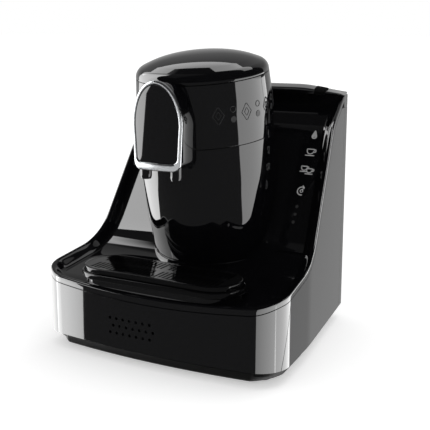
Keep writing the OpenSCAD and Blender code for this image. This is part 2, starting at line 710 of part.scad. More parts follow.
base_pan();
rubber_feet();
base_screws();
front_cover();
side_cover_left();
side_cover_right();
rear_cover();
deck_shell();
tower_barrel();
tower_collar();
tower_lid();
lid_liner();
lid_seal();
foam_sensor();
lid_hinge_pin();
brew_chamber();
chamber_jacket();
heater_plate();
temperature_sensor();
thermal_fuse();
outlet_valve();
valve_coil();
outlet_plunger();
outlet_pipe();
spout_housing();
spout_frame();
spout_insert();
outlet_manifold();
nozzles();
tray_well();
drip_tray();
drip_grate();
water_tank();
tank_lid();
tank_lid_frame();
tank_lid_tab();
tank_valve();
tank_valve_spring();
tank_valve_seal();
tank_shelf();
tank_coupling();
pump();
pump_mounts();
suction_hose();
delivery_hose();
control_board();
sounder();
touch_panel();
touch_board();
led_guides();
cord_gland();
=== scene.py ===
import math

import bmesh
import bpy
from mathutils import Matrix, Vector


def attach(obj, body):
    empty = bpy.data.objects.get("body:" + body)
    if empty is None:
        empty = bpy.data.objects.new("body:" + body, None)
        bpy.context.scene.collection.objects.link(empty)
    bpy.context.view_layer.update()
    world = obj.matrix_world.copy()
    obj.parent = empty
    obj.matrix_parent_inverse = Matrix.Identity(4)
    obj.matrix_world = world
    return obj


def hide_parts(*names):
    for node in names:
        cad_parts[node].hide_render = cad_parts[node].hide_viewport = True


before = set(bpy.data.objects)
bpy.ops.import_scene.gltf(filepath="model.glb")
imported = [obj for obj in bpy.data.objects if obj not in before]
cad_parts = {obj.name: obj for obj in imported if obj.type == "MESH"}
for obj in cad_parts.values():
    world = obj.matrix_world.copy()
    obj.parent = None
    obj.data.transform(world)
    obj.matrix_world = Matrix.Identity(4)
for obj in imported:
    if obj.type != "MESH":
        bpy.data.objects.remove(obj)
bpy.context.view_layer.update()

# ---- Camera ---------------------------------------------------------------------------------
# A long lens at counter height, a little to the right of the machine's front. It looks at the
# middle of the machine.

VIEW_TARGET = Vector((0.0, 0.0125, 0.1195))
VIEW_TURN = math.radians(29.0)
VIEW_RISE = math.radians(12.3)
VIEW_DISTANCE = 0.8586
SENSOR = 36.0
FOCAL_PIXELS = 848.0
FRAME_PIXELS = 430

camera = bpy.data.objects.new("camera", bpy.data.cameras.new("camera"))
bpy.context.collection.objects.link(camera)
bpy.context.scene.camera = camera
camera.data.sensor_width = SENSOR
camera.data.lens = FOCAL_PIXELS * SENSOR / FRAME_PIXELS
camera.data.clip_start = 0.05
towards_camera = Vector((math.sin(VIEW_TURN) * math.cos(VIEW_RISE),
                         -math.cos(VIEW_TURN) * math.cos(VIEW_RISE), math.sin(VIEW_RISE)))
camera.location = VIEW_TARGET + towards_camera * VIEW_DISTANCE
camera.rotation_euler = towards_camera.to_track_quat("Z", "Y").to_euler()

# ---- Base pan -------------------------------------------------------------------------------
# The floor of the housing, moulded in black polypropylene with a fine spark-eroded grain. It
# stands inside the covers and is screwed to them from below.

MM = 0.001


def linear(code):
    """An sRGB hex colour as linear red, green, blue and alpha."""
    parts = [int(code[i:i + 2], 16) / 255 for i in (1, 3, 5)]
    return (*[c / 12.92 if c <= 0.04045 else ((c + 0.055) / 1.055) ** 2.4 for c in parts], 1.0)


def add_node(material, kind, settings=None, inputs=None):
    """Adds a node to a material, world or lamp. A socket is linked, any other input is set."""
    node = material.node_tree.nodes.new("ShaderNode" + kind)
    for name, value in (settings or {}).items():
        setattr(node, name, value)
    for name, value in (inputs or {}).items():
        if isinstance(value, bpy.types.NodeSocket):
            material.node_tree.links.new(value, node.inputs[name])
        else:
            node.inputs[name].default_value = value
    return node


def new_material(name):
    """An empty material with its output node."""
    material = bpy.data.materials.new(name)
    material.use_nodes = True
    material.node_tree.nodes.clear()
    add_node(material, "OutputMaterial")
    return material


def surface(material, shader):
    """Links a shader to the material's output."""
    output = material.node_tree.nodes["Material Output"]
    material.node_tree.links.new(shader.outputs[0], output.inputs["Surface"])
    return material


def grains(size_mm, detail):
    """A pattern of soft grains, size_mm across."""
    return "TexNoise", None, {"Scale": 1 / (size_mm * MM), "Detail": detail}


def finish(name, pattern, depth_mm, colour, roughness, extra):
    """A material with a bump depth_mm deep. Its pattern mixes a pair of colours or roughnesses."""
    material = new_material(name)
    kind, settings, inputs = pattern
    place = add_node(material, "TexCoord")
    height = add_node(material, kind, settings, {"Vector": place.outputs["Object"], **inputs})
    bump = add_node(material, "Bump", None, {
        "Height": height.outputs[0], "Distance": depth_mm * MM, "Strength": 1.0})
    if isinstance(colour, tuple):
        colour = add_node(material, "MixRGB", None, {
            "Fac": height.outputs[0], "Color1": linear(colour[0]),
            "Color2": linear(colour[1])}).outputs[0]
    else:
        colour = linear(colour)
    if isinstance(roughness, tuple):
        roughness = add_node(material, "MapRange", None, {
            "Value": height.outputs[0], "To Min": roughness[0],
            "To Max": roughness[1]}).outputs[0]
    return surface(material, add_node(material, "BsdfPrincipled", None, {
        "Base Color": colour, "Roughness": roughness, "Normal": bump.outputs[0], **extra}))


# Moulded polypropylene: eroded grain about half a millimetre across, dull and slightly grey.
pan_plastic = finish("black_polypropylene_grained", grains(0.5, 3.0), 0.03, "#0d0d0d",
                     (0.42, 0.56), {"IOR": 1.49})


def arc_corner(before, at, after, radius, steps):
    """Points of the arc that rounds the corner at a point, between its neighbours."""
    to_before = (before - at).normalized()
    to_after = (after - at).normalized()
    half = to_before.angle(to_after) / 2
    middle = at + (to_before + to_after).normalized() * radius / math.sin(half)
    start = at + to_before * radius / math.tan(half) - middle
    side = 1 if (at - before).cross(after - at) > 0 else -1
    turn = side * (math.pi - 2 * half)
    points = []
    for i in range(steps + 1):
        w = turn * i / steps
        points.append(middle + Vector((start.x * math.cos(w) - start.y * math.sin(w),
                                       start.x * math.sin(w) + start.y * math.cos(w))))
    return points


def rounded_path(corners, steps):
    """An open path through corners (u, v, radius), each rounded by an arc."""
    places = [Vector(c[:2]) for c in corners]
    path = [places[0]]
    for i in range(1, len(corners) - 1):
        if corners[i][2] == 0:
            path.append(places[i])
        else:
            path += arc_corner(places[i - 1], places[i], places[i + 1], corners[i][2], steps)
    path.append(places[-1])
    return path


FRONT_Y = -118.0
BACK_Y = 118.0
# Right side of the housing's plan: corner x, y, radius, steps of its arc, steps to the next one
PLAN = [(49.2, FRONT_Y, 803.0, 24, 2), (128.5, FRONT_Y + 9.7, 29.0, 20, 16),
        (122.0, -28.0, 220.0, 6, 48), (101.2, BACK_Y - 3.4, 9.0, 10, 2),
        (45.5, BACK_Y, 1535.0, 12, 2)]


def plan_half(inset):
    """Points of the housing's plan from front middle to back middle, drawn in by inset."""
    corners = [Vector((-PLAN[0][0], PLAN[0][1]))] + [Vector(c[:2]) for c in PLAN]
    corners.append(Vector((-PLAN[-1][0], PLAN[-1][1])))
    moved = []
    for i in range(1, len(corners) - 1):
        along_a = (corners[i] - corners[i - 1]).normalized()
        along_b = (corners[i + 1] - corners[i]).normalized()
        a = corners[i] + inset * Vector((-along_a.y, along_a.x))
        b = corners[i] + inset * Vector((-along_b.y, along_b.x))
        t = (b - a).cross(along_b) / along_a.cross(along_b)
        moved.append(a + along_a * t)
    moved = [Vector((-moved[0].x, moved[0].y))] + moved + [Vector((-moved[-1].x, moved[-1].y))]
    points = []
    for i, corner in enumerate(PLAN):
        radius, steps = corner[2:4]
        arc = arc_corner(moved[i], moved[i + 1], moved[i + 2], max(radius - inset, 0.6), steps)
        if i == 0:
            arc[0].x = 0.0
        if i == len(PLAN) - 1:
            arc = [p for p in arc if p.x > 1.5] + [Vector((0.0, arc[-1].y))]
        if points:
            run = PLAN[i - 1][4]
            points += [points[-1].lerp(arc[0], k / run) for k in range(1, run)]
        points += arc
    return points


def both_sides(half):
    """A closed loop from the half of an outline that starts and ends on the middle line."""
    return half + [Vector((-p.x, p.y)) for p in half[-2:0:-1]]


def ring_through(bm, places):
    """A closed ring of edges through places in mm."""
    verts = [bm.verts.new((x * MM, y * MM, z * MM)) for x, y, z in places]
    return [bm.edges.new(pair) for pair in zip(verts, verts[1:] + verts[:1])]


def plan_ring(bm, inset, height):
    """A closed ring round the plan; height is a number or a function of y, in mm."""
    return ring_through(bm, [(p.x, p.y, height(p.y) if callable(height) else height)
                             for p in both_sides(plan_half(inset))])


def bridge_rings(bm, rings, close=False):
    """Joins each ring of edges to the next one, and with close the last to the first."""
    for a, b in zip(rings, rings[1:] + (rings[:1] if close else [])):
        bmesh.ops.bridge_loops(bm, edges=a + b)


def bridge_and_cap(bm, rings):
    """Joins rings into a closed solid with flat ends."""
    bridge_rings(bm, rings)
    for ring in (rings[0], rings[-1]):
        bmesh.ops.holes_fill(bm, edges=ring, sides=0)


def soften(bm, width_mm, degrees=40.0, segments=2):
    """Rounds every edge where two faces meet at more than an angle."""
    edges = [e for e in bm.edges if len(e.link_faces) == 2
             and e.calc_face_angle(0) > math.radians(degrees)]
    bmesh.ops.bevel(bm, geom=edges, offset=width_mm * MM, segments=segments, profile=0.5,
                    affect="EDGES", material=-1, clamp_overlap=True)


def weigh_normals(piece):
    """Lets the large faces set the shading at their edges, so that a bevel can't bend it."""
    modifier = piece.modifiers.new("normals", "WEIGHTED_NORMAL")
    modifier.keep_sharp = True
    modifier.weight = 75


def make_piece(name, bm, material, body, replaced, sharp=35.0):
    """Turns a bmesh into a finished piece that rides on a body."""
    mesh = bpy.data.meshes.new(name)
    bmesh.ops.recalc_face_normals(bm, faces=bm.faces)
    for face in bm.faces:
        face.smooth = True
    bm.to_mesh(mesh)
    bm.free()
    mesh.set_sharp_from_angle(angle=math.radians(sharp))
    piece = bpy.data.objects.new(name, mesh)
    bpy.context.collection.objects.link(piece)
    mesh.materials.append(material)
    weigh_normals(piece)
    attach(piece, body)
    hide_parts(*replaced)
    return piece


SKIRT_Z = 15.0
PAN_CORNER = Vector((74.0, -67.0))
PAN_CORNER_R = 46.0


def pan_ring(bm, inset, z):
    """A closed ring round the pan: the housing's plan with fuller front corners."""
    half = []
    for p in plan_half(6.5 + inset):
        p = Vector((min(p.x, 120.0 - inset), p.y))
        out = p - PAN_CORNER
        if out.x > 0 and out.y < 0 and out.length > PAN_CORNER_R - inset:
            p = PAN_CORNER + out.normalized() * (PAN_CORNER_R - inset)
        half.append(p)
    return ring_through(bm, [(p.x, p.y, z) for p in both_sides(half)])


bm = bmesh.new()
bridge_and_cap(bm, [pan_ring(bm, inset, z) for inset, z in (
    (9.0, 3.0), (5.0, 3.0), (3.2, 3.3), (1.6, 4.3), (0.6, 6.0), (0.1, 8.5), (0.0, 11.6),
    (0.4, 12.0), (3.0, 12.0), (4.0, 11.0), (4.0, 6.5), (9.0, 6.5))])
bridge_rings(bm, [plan_ring(bm, inset, z) for inset, z in (
    (8.0, 9.0), (8.0, 15.2), (2.9, 15.2), (2.9, 17.2), (10.5, 17.2), (10.5, 9.0))], close=True)
make_piece("pan_moulding", bm, pan_plastic, "housing", ["base_pan"])

# ---- Feet and base screws -------------------------------------------------------------------
# Four soft feet pressed into the pan, and the cross-head screws that hold the pan to the
# covers.

# Thermoplastic rubber: matt, with fine dust in its moulded texture.
foot_rubber = finish("thermoplastic_rubber", grains(0.8, 4.0), 0.05, ("#0e0e0e", "#1b1b1a"),
                     0.72, {"IOR": 1.52, "Sheen Weight": 0.15})

# Zinc-plated steel: a bluish grey metal, brushed thin by tumbling.
zinc_steel = finish("zinc_plated_steel", grains(0.6, 4.0), 0.004, "#b9bcc0", (0.24, 0.42),
                    {"Metallic": 1.0})


def finish_node(material, *names):
    """Gives a material to nodes of the frame whose own shape is right."""
    for name in names:
        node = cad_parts[name]
        node.data.materials.clear()
        node.data.materials.append(material)


finish_node(foot_rubber, "rubber_feet")
finish_node(zinc_steel, "base_screws")

# ---- Covers ---------------------------------------------------------------------------------
# Front, side and rear covers: injection-moulded ABS in piano black, polished tools, 2.5 mm
# walls. They meet in leaning seams behind the front corners and under the deck's border.

# High-gloss ABS: the tool's polish leaves a mirror with a barely wavy orange peel.
gloss_abs = finish("gloss_black_abs", grains(14.0, 1.0), 0.006, "#08080a", 0.025, {
    "IOR": 1.54, "Coat Weight": 0.6, "Coat Roughness": 0.02, "Coat IOR": 1.5})

DECK_Z = 76.5
TOP_Z = 238.0
SLOPE = math.radians(59.5)
SLOPE_FOOT = Vector((-20.5, 91.0))
SLOPE_HEAD = SLOPE_FOOT + 72.5 * Vector((1.0, math.tan(SLOPE)))
BORDER_PATH = rounded_path([
    (-150.0, DECK_Z - 32.6, 0), (-106.8, DECK_Z, 60), (*SLOPE_FOOT, 57), (*SLOPE_HEAD, 30),
    (93.5, TOP_Z, 20), (140.0, TOP_Z + 6.5, 0)], 40)


def along_path(path, i):
    """Direction of a path at its point i."""
    return (path[min(i + 1, len(path) - 1)] - path[max(i - 1, 0)]).normalized()


def on_path(path, place):
    """Second coordinate of a path at a place along its first."""
    for a, b in zip(path, path[1:]):
        if place <= b.x:
            return a.y + (b.y - a.y) * (place - a.x) / (b.x - a.x)
    return path[-1].y


def border_height(depth):
    """Height of the border's profile as a function of y, lowered by depth at right angles."""
    lowered = []
    for i, p in enumerate(BORDER_PATH):
        along = along_path(BORDER_PATH, i)
        q = p + depth * Vector((along.y, -along.x))
        if not lowered or q.x > lowered[-1].x + 0.01:
            lowered.append(q)
    return lambda y: on_path(lowered, y)


WALL = 2.5
BORDER_T = 5.0
COVER_TOP = 226.0
SEAM_FOOT_Y = -97.3        # where the corner seam's plane meets the table
SEAM_SLOPE = 0.227         # how far the seam leans back for each millimetre up
REAR_SEAM_Y = 96.0
SEAM = 0.25                # half the gap at a seam

cover_top = border_height(BORDER_T + 0.45)


def cover_shell():
    """The whole ring of wall between the skirt and the border."""
    bm = bmesh.new()
    top = lambda y: min(cover_top(y), COVER_TOP)
    rings = [plan_ring(bm, inset, z) for inset, z in (
        (0.0, SKIRT_Z), (0.0, lambda y: SKIRT_Z + (top(y) - SKIRT_Z) * 0.5), (0.0, top),
        (WALL, top), (WALL, SKIRT_Z))]
    bridge_rings(bm, rings, close=True)
    return bm


def keep_side(bm, point, normal):
    """Cuts a closed mesh by a plane, drops the part that the normal points at, caps the cut."""
    cut = bmesh.ops.bisect_plane(
        bm, geom=bm.verts[:] + bm.edges[:] + bm.faces[:], dist=1e-6,
        plane_co=Vector(point) * MM, plane_no=normal, clear_outer=True)
    edges = [e for e in cut["geom_cut"] if isinstance(e, bmesh.types.BMEdge)]
    bmesh.ops.holes_fill(bm, edges=edges, sides=0)


seam_back = Vector((0.0, 1.0, -SEAM_SLOPE)).normalized()
bm = cover_shell()
keep_side(bm, (0, SEAM_FOOT_Y - SEAM, 0), seam_back)
soften(bm, 0.2)
front_cover = make_piece("front_panel", bm, gloss_abs, "housing", ["front_cover"])

side_covers = []
for side, name in ((-1, "left"), (1, "right")):
    bm = cover_shell()
    keep_side(bm, (0, SEAM_FOOT_Y + SEAM, 0), -seam_back)
    keep_side(bm, (0, REAR_SEAM_Y - SEAM, 0), (0, 1, 0))
    keep_side(bm, (0, 0, 0), (-side, 0, 0))
    soften(bm, 0.2)
    side_covers.append(make_piece("side_panel_" + name, bm, gloss_abs, "housing",
                                  ["side_cover_" + name]))

bm = cover_shell()
keep_side(bm, (0, REAR_SEAM_Y + SEAM, 0), (0, -1, 0))
soften(bm, 0.2)
rear_cover = make_piece("rear_panel", bm, gloss_abs, "housing", ["rear_cover"])


def cut_with(piece, cutter):
    """Cuts a mesh out of a piece and removes the cutter."""
    tool = bpy.data.objects.new("cutter", bpy.data.meshes.new("cutter"))
    bmesh.ops.recalc_face_normals(cutter, faces=cutter.faces)
    cutter.to_mesh(tool.data)
    cutter.free()
    bpy.context.collection.objects.link(tool)
    piece.modifiers.clear()
    modifier = piece.modifiers.new("cut", "BOOLEAN")
    modifier.operation = "DIFFERENCE"
    modifier.solver = "EXACT"
    modifier.object = tool
    depsgraph = bpy.context.evaluated_depsgraph_get()
    mesh = bpy.data.meshes.new_from_object(piece.evaluated_get(depsgraph))
    piece.modifiers.clear()
    old = piece.data
    piece.data = mesh
    mesh.name = piece.name
    bpy.data.objects.remove(tool)
    bpy.data.meshes.remove(old)
    weigh_normals(piece)


def add_rod(bm, radius, length, matrix, sides=20):
    """A round rod, sized in mm, along the matrix's Z."""
    bmesh.ops.create_cone(bm, cap_ends=True, segments=sides, radius1=radius * MM,
                          radius2=radius * MM, depth=length * MM, matrix=matrix)


def add_block(bm, middle, size):
    """A block by its middle and its size in mm."""
    bmesh.ops.create_cube(bm, size=1.0, matrix=Matrix.Translation([c * MM for c in middle])
                          @ Matrix.Diagonal((*[s * MM for s in size], 1)))


HOLE_X, HOLE_Z = -39.0, 29.5         # the first sound hole
HOLE_PITCH = 7.3
HOLE_ROW = 7.0
HOLE_R = 1.45
bm = bmesh.new()
for row in range(3):
    for i in range(7):
        x = HOLE_X + (row % 2) * HOLE_PITCH / 2 + i * HOLE_PITCH
        z = HOLE_Z + HOLE_ROW * row
        place = Matrix.Translation((x * MM, -0.115, z * MM)) @ Matrix.Rotation(math.pi / 2, 4, "X")
        add_rod(bm, HOLE_R, 14.0, place)
cut_with(front_cover, bm)

VENT_X = 21.5
VENT_PITCH = 6.0
bm = bmesh.new()
for i in range(9):
    add_block(bm, (VENT_X + VENT_PITCH * i, 116.0, 48.0), (3.0, 20.0, 28.0))
cut_with(rear_cover, bm)

# ---- Deck shell -----------------------------------------------------------------------------
# The serving deck and the sloping back are one ABS moulding: a narrow border that lies on the
# covers, and inside it a smooth dish that runs up to the riser under the tank lid.

DISH = 8.6
DISH_EDGE = 13.5
SIDE_CHAINS = 7            # how many of the chains belong to the border's side
SKIN = 0.0022
DECK_BACK_Y = 92.6


def dish_rings(bm):
    """Open chains from the front middle to the back middle: the border's side, then the dish."""
    sections = [(2.4, 5.05), (0.3, 5.05), (0.0, 4.75), (0.0, 2.6), (0.0, 0.9), (0.25, 0.3),
                (0.8, 0.0), (1.5, 0.0), (2.2, 0.2)]
    steps = 12
    for k in range(1, steps + 1):
        t = k / steps
        sections.append((2.2 + (DISH_EDGE - 2.2) * t,
                         0.2 + (DISH - 0.2) * (0.5 - 0.5 * math.cos(math.pi * t)) ** 0.8))
    chains = []
    for inset, depth in sections:
        height = border_height(depth)
        verts = [bm.verts.new((p.x * MM, p.y * MM, height(p.y) * MM)) for p in plan_half(inset)]
        chains.append([bm.edges.new(pair) for pair in zip(verts, verts[1:])])
    verts = [bm.verts.new((0.0, v.co.y, v.co.z)) for v in verts]
    chains.append([bm.edges.new(pair) for pair in zip(verts, verts[1:])])
    return chains


skin = bmesh.new()
chains = dish_rings(skin)
bridge_rings(skin, chains)
skin.verts.index_update()
side_verts = sum(len(chain) + 1 for chain in chains[:SIDE_CHAINS])
for face in skin.faces:
    face.material_index = int(max(v.index for v in face.verts) < side_verts)
bmesh.ops.remove_doubles(skin, verts=skin.verts, dist=2e-6)
bmesh.ops.mirror(skin, geom=skin.verts[:] + skin.edges[:] + skin.faces[:], axis="X",
                 merge_dist=1e-5)
bmesh.ops.remove_doubles(skin, verts=skin.verts, dist=2e-6)
bmesh.ops.bisect_plane(skin, geom=skin.verts[:] + skin.edges[:] + skin.faces[:], dist=1e-6,
                       plane_co=(0, DECK_BACK_Y * MM, 0), plane_no=(0, 1, 0), clear_outer=True)
bmesh.ops.recalc_face_normals(skin, faces=skin.faces)


def deck_part(kind):
    """The border's side (1) or the dish (0) of the deck's skin, thickened inwards."""
    bm = skin.copy()
    other = [face for face in bm.faces if face.material_index != kind]
    bmesh.ops.delete(bm, geom=other, context="FACES")
    for face in bm.faces:
        face.material_index = 0
    bmesh.ops.solidify(bm, geom=bm.faces[:], thickness=SKIN)
    return bm


deck_side = make_piece("deck_side", deck_part(1), gloss_abs, "housing", ["deck_shell"])
deck = make_piece("deck_moulding", deck_part(0), gloss_abs, "housing", ["deck_shell"])
skin.free()

TRAY_L = 55.0
TRAY_R = 29.5
TRAY_Y = -87.5
TRAY_ARC, TRAY_RUN = 24, 30          # steps of a ring's half circle and of its run
OPENING_R = 25.63


def tray_ring(bm, radius, z, waist=0.0):
    """A ring round the tray: two half circles joined by runs that a waist draws in."""
    places = []
    for side in (1, -1):
        for i in range(TRAY_ARC + 1):
            t = side * (-math.pi / 2) + math.pi * i / TRAY_ARC
            places.append((side * TRAY_L + radius * math.cos(t),
                           TRAY_Y + radius * math.sin(t), z))
        for k in range(1, TRAY_RUN):
            x = side * TRAY_L * (1 - 2 * k / TRAY_RUN)
            drawn = waist * math.cos(math.pi / 2 * x / TRAY_L) ** 2
            places.append((x, TRAY_Y + side * (radius - drawn), z))
    return ring_through(bm, places)


bm = bmesh.new()
bridge_and_cap(bm, [tray_ring(bm, OPENING_R, z) for z in (50.0, 120.0)])
cut_with(deck, bm)

# Cup under the opening that the tray's basin hangs in, bonded to the deck.
bm = bmesh.new()
bridge_and_cap(bm, [tray_ring(bm, r, z) for r, z in (
    (22.5, 61.0), (23.9, 61.3), (24.1, 62.4), (24.1, 75.4), (24.4, 75.8), (25.3, 75.8),
    (25.6, 75.5), (25.6, 61.4), (24.6, 59.5), (22.5, 59.5))])
make_piece("well_moulding", bm, gloss_abs, "housing", ["tray_well"])

# ---- Touch panel ----------------------------------------------------------------------------
# A thin gloss plate bonded to the right-hand side of the slope, with four printed key symbols
# and three small lights shining through it. Its board lies behind the deck.

PANEL_DEPTH = 7.35
PANEL_X = 78.5
PANEL_ENDS = (-9.6, 57.8)
LED_X = 88.5
LED_U = (41.5, 49.5, 57.5)
LED_R = 1.7
SLOPE_ALONG = Vector((0, math.cos(SLOPE), math.sin(SLOPE)))
SLOPE_OUT = Vector((0, -math.sin(SLOPE), math.cos(SLOPE)))


def on_slope(x, u, depth):
    """A place on the slope: across, up the slope from its foot, and below the border."""
    return (Vector((x, *SLOPE_FOOT)) + u * SLOPE_ALONG - depth * SLOPE_OUT) * MM


def flank_x(inset):
    """Half width of the plan, drawn in by inset, as a function of y along the flank."""
    flank = [Vector((p.y, p.x)) for p in plan_half(inset) if p.y > -60 and p.x > 45]
    return lambda y: on_path(flank, y)


def led_pins():
    """Three rods through the places of the lights."""
    bm = bmesh.new()
    tilt = Matrix.Rotation(SLOPE, 4, "X")
    for u in LED_U:
        add_rod(bm, LED_R, 30.0, Matrix.Translation(on_slope(LED_X, u, 0)) @ tilt)
    return bm


cut_with(deck, led_pins())

panel_top, panel_under = border_height(PANEL_DEPTH), border_height(8.5)
panel_side = flank_x(12.7)
PANEL_ROWS, PANEL_STEPS = 60, 8      # faces up the plate and across it
bm = bmesh.new()
rows = []
for i in range(PANEL_ROWS + 1):
    y = PANEL_ENDS[0] + (PANEL_ENDS[1] - PANEL_ENDS[0]) * i / PANEL_ROWS
    xs = [PANEL_X + 0.1 + (panel_side(y) - PANEL_X - 0.2) * k / PANEL_STEPS
          for k in range(PANEL_STEPS + 1)]
    rows.append([bm.verts.new((x * MM, y * MM, z * MM)) for z, line in (
        (panel_top(y), xs), (panel_under(y), xs[::-1])) for x in line])
for a, b in zip(rows, rows[1:]):
    for k in range(len(a)):
        ahead = (k + 1) % len(a)
        bm.faces.new((a[k], a[ahead], b[ahead], b[k]))
for end in (rows[0], rows[-1]):
    bm.faces.new(end)
soften(bm, 0.25, 60)
touch_plate = make_piece("touch_plate", bm, gloss_abs, "housing", ["touch_panel"])
cut_with(touch_plate, led_pins())

# Screen-printed ink: matt pale grey, a little thinner where the mesh lifted.
symbol_ink = finish("printed_grey_ink", grains(0.4, 2.0), 0.005, ("#a6a6a6", "#cbcbcb"), 0.6,
                    {"IOR": 1.45})


def add_stroke(bm, at, points, width, closed=False):
    """A printed line through (across, up) places round a middle (x, u) on the panel."""
    points = [Vector(at) + Vector(p) for p in points]
    rows = []
    for i, p in enumerate(points):
        ahead = points[(i + 1) % len(points)] if closed or i + 1 < len(points) else p
        before = points[i - 1] if closed or i else p
        side = (ahead - before).normalized()
        side = Vector((-side.y, side.x)) * width / 2
        rows.append([bm.verts.new(on_slope(*(p + s * side), PANEL_DEPTH - 0.08))
                     for s in (1, -1)])
    for a, b in zip(rows, rows[1:] + (rows[:1] if closed else [])):
        bm.faces.new((a[0], a[1], b[1], b[0]))


def ring_part(radius, from_deg, to_deg, at=(0, 0), steps=14, tall=1.0):
    """Places along part of a circle or, with tall, of an ellipse."""
    turns = [math.radians(from_deg + (to_deg - from_deg) * i / steps) for i in range(steps + 1)]
    return [(at[0] + radius * math.cos(t), at[1] + tall * radius * math.sin(t)) for t in turns]


def add_cup(bm, at, size):
    """A cup seen from its side: bowl, handle and saucer."""
    bowl = [(-3.2, 2.4)] + ring_part(3.2, 180, 360, (0, 1.6), 14, 1.15) + [(3.2, 2.4)]
    for points, closed in ((bowl, True), (ring_part(1.3, 80, -100, (3.6, 0.9), 8), False),
                           ([(-4.2, -3.4), (4.2, -3.4)], False)):
        add_stroke(bm, at, [(size * x, size * y) for x, y in points], 0.9, closed)


bm = bmesh.new()
drop = [(-0.1, 4.2), (0.1, 4.2)] + ring_part(2.3, 30, -210, (0, -1.6), 18)
for share in (1.0, 0.62, 0.24):
    add_stroke(bm, (89.5, 133.0), [(share * x, share * y) for x, y in drop], 1.0, True)
add_cup(bm, (89.2, 114.8), 1.15)
add_cup(bm, (86.8, 97.0), 0.95)
add_cup(bm, (92.6, 94.8), 0.95)
turning_arrow = (89.5, 73.5)
add_stroke(bm, turning_arrow, ring_part(4.1, 60, 290), 1.0)
add_stroke(bm, turning_arrow, [(0.2, 5.6), (2.6, 3.4), (0.4, 1.6)], 0.9)
add_stroke(bm, turning_arrow, ring_part(1.4, 0, 345, (0, 0), 12), 0.8, True)
make_piece("key_symbols", bm, symbol_ink, "housing", ["touch_panel"])

# Smoked acrylic light guides, unlit: a dull dark grey in the black plate.
smoked_guide = finish("smoked_acrylic_guide", grains(0.8, 2.0), 0.01, ("#262626", "#3a3a3a"),
                      0.3, {"IOR": 1.49})
finish_node(smoked_guide, "led_guides")

# ---- Tower ----------------------------------------------------------------------------------
# The brewing tower leans forward over the deck. Barrel and collar are turned-looking ABS
# shells; the barrel stands in a flared foot on the deck and the collar carries the lid.

LEAN = math.radians(8.5)
TOWER_BASE = Vector((0.0, -11.0, 256.0))
TO_TOWER = Matrix.Translation(TOWER_BASE * MM) @ Matrix.Rotation(LEAN, 4, "X")
MOUTH_R = 63.5
BELLY_R = 66.4
LID_S = 7.0
COLLAR_S = -51.0
FOOT_S = -164.0
FOOT_R = 60.5
TOWER_STEPS = 128
TOWER_PATH = rounded_path([
    (FOOT_S, FOOT_R, 0), (-132, BELLY_R - 1, 60), (-90, BELLY_R, 0), (-30, BELLY_R - 1, 0),
    (-16, BELLY_R - 1, 60), (LID_S, MOUTH_R, 0)], 12)


def tower_radius(s):
    """Outer radius of the tower at a place along its axis."""
    return on_path(TOWER_PATH, s)


def spin_profile(bm, points, place, steps=TOWER_STEPS):
    """Turns a closed profile of (radius, height) points about an axis and puts it in place."""
    others = set(bm.verts)
    edges = ring_through(bm, [(r, 0, s) for r, s in points])
    verts = [v for v in bm.verts if v not in others]
    bmesh.ops.spin(bm, geom=verts + edges, cent=(0, 0, 0), axis=(0, 0, 1), angle=2 * math.pi,
                   steps=steps, use_merge=True, use_duplicate=False)
    bmesh.ops.remove_doubles(bm, verts=[v for v in bm.verts if v not in others], dist=1e-6)
    bmesh.ops.transform(bm, matrix=place, verts=[v for v in bm.verts if v not in others])


TOWER_WALL = 2.6
TOWER_ROUND = 0.35


def shell_profile(s_low, s_high):
    """Closed wall profile that follows the tower's side, with rounded outer ends."""
    n = max(2, round((s_high - s_low - 2 * TOWER_ROUND) / 6.0))
    outer = [(tower_radius(s_low) - TOWER_ROUND, s_low),
             (tower_radius(s_low) - 0.3 * TOWER_ROUND, s_low + 0.3 * TOWER_ROUND)]
    for i in range(n + 1):
        s = s_low + TOWER_ROUND + (s_high - s_low - 2 * TOWER_ROUND) * i / n
        outer.append((tower_radius(s), s))
    outer += [(tower_radius(s_high) - 0.3 * TOWER_ROUND, s_high - 0.3 * TOWER_ROUND),
              (tower_radius(s_high) - TOWER_ROUND, s_high)]
    return outer + [(outer[-1][0] - TOWER_WALL, s_high), (outer[0][0] - TOWER_WALL, s_low)]


# Flared socket on the deck that the barrel's foot stands in; part of the deck moulding's tool.
bm = bmesh.new()
spin_profile(bm, [
    (FOOT_R - 6.0, FOOT_S - 0.3), (FOOT_R + 0.4, FOOT_S - 0.3), (FOOT_R + 1.3, FOOT_S - 0.7),
    (FOOT_R + 1.6, FOOT_S - 1.6), (FOOT_R + 1.9, FOOT_S - 4.0), (FOOT_R + 2.8, FOOT_S - 8.0),
    (FOOT_R + 4.6, FOOT_S - 12.0), (FOOT_R + 7.5, FOOT_S - 15.5), (FOOT_R + 11.0, FOOT_S - 18.0),
    (FOOT_R + 11.0, FOOT_S - 19.5), (FOOT_R - 6.0, FOOT_S - 19.5)], TO_TOWER)
make_piece("tower_socket", bm, gloss_abs, "housing", ["deck_shell"])

bm = bmesh.new()
spin_profile(bm, shell_profile(FOOT_S, COLLAR_S - 0.3), TO_TOWER)
barrel = make_piece("barrel_shell", bm, gloss_abs, "housing", ["tower_barrel"])

HINGE_Y = 70.0
HINGE_S = 2.0
HINGE_R = 4.8
EAR_X = 14.0


def add_part(bm, part):
    """Adds a finished mesh to another one."""
    mesh = bpy.data.meshes.new("part")
    part.to_mesh(mesh)
    part.free()
    bm.from_mesh(mesh)
    bpy.data.meshes.remove(mesh)


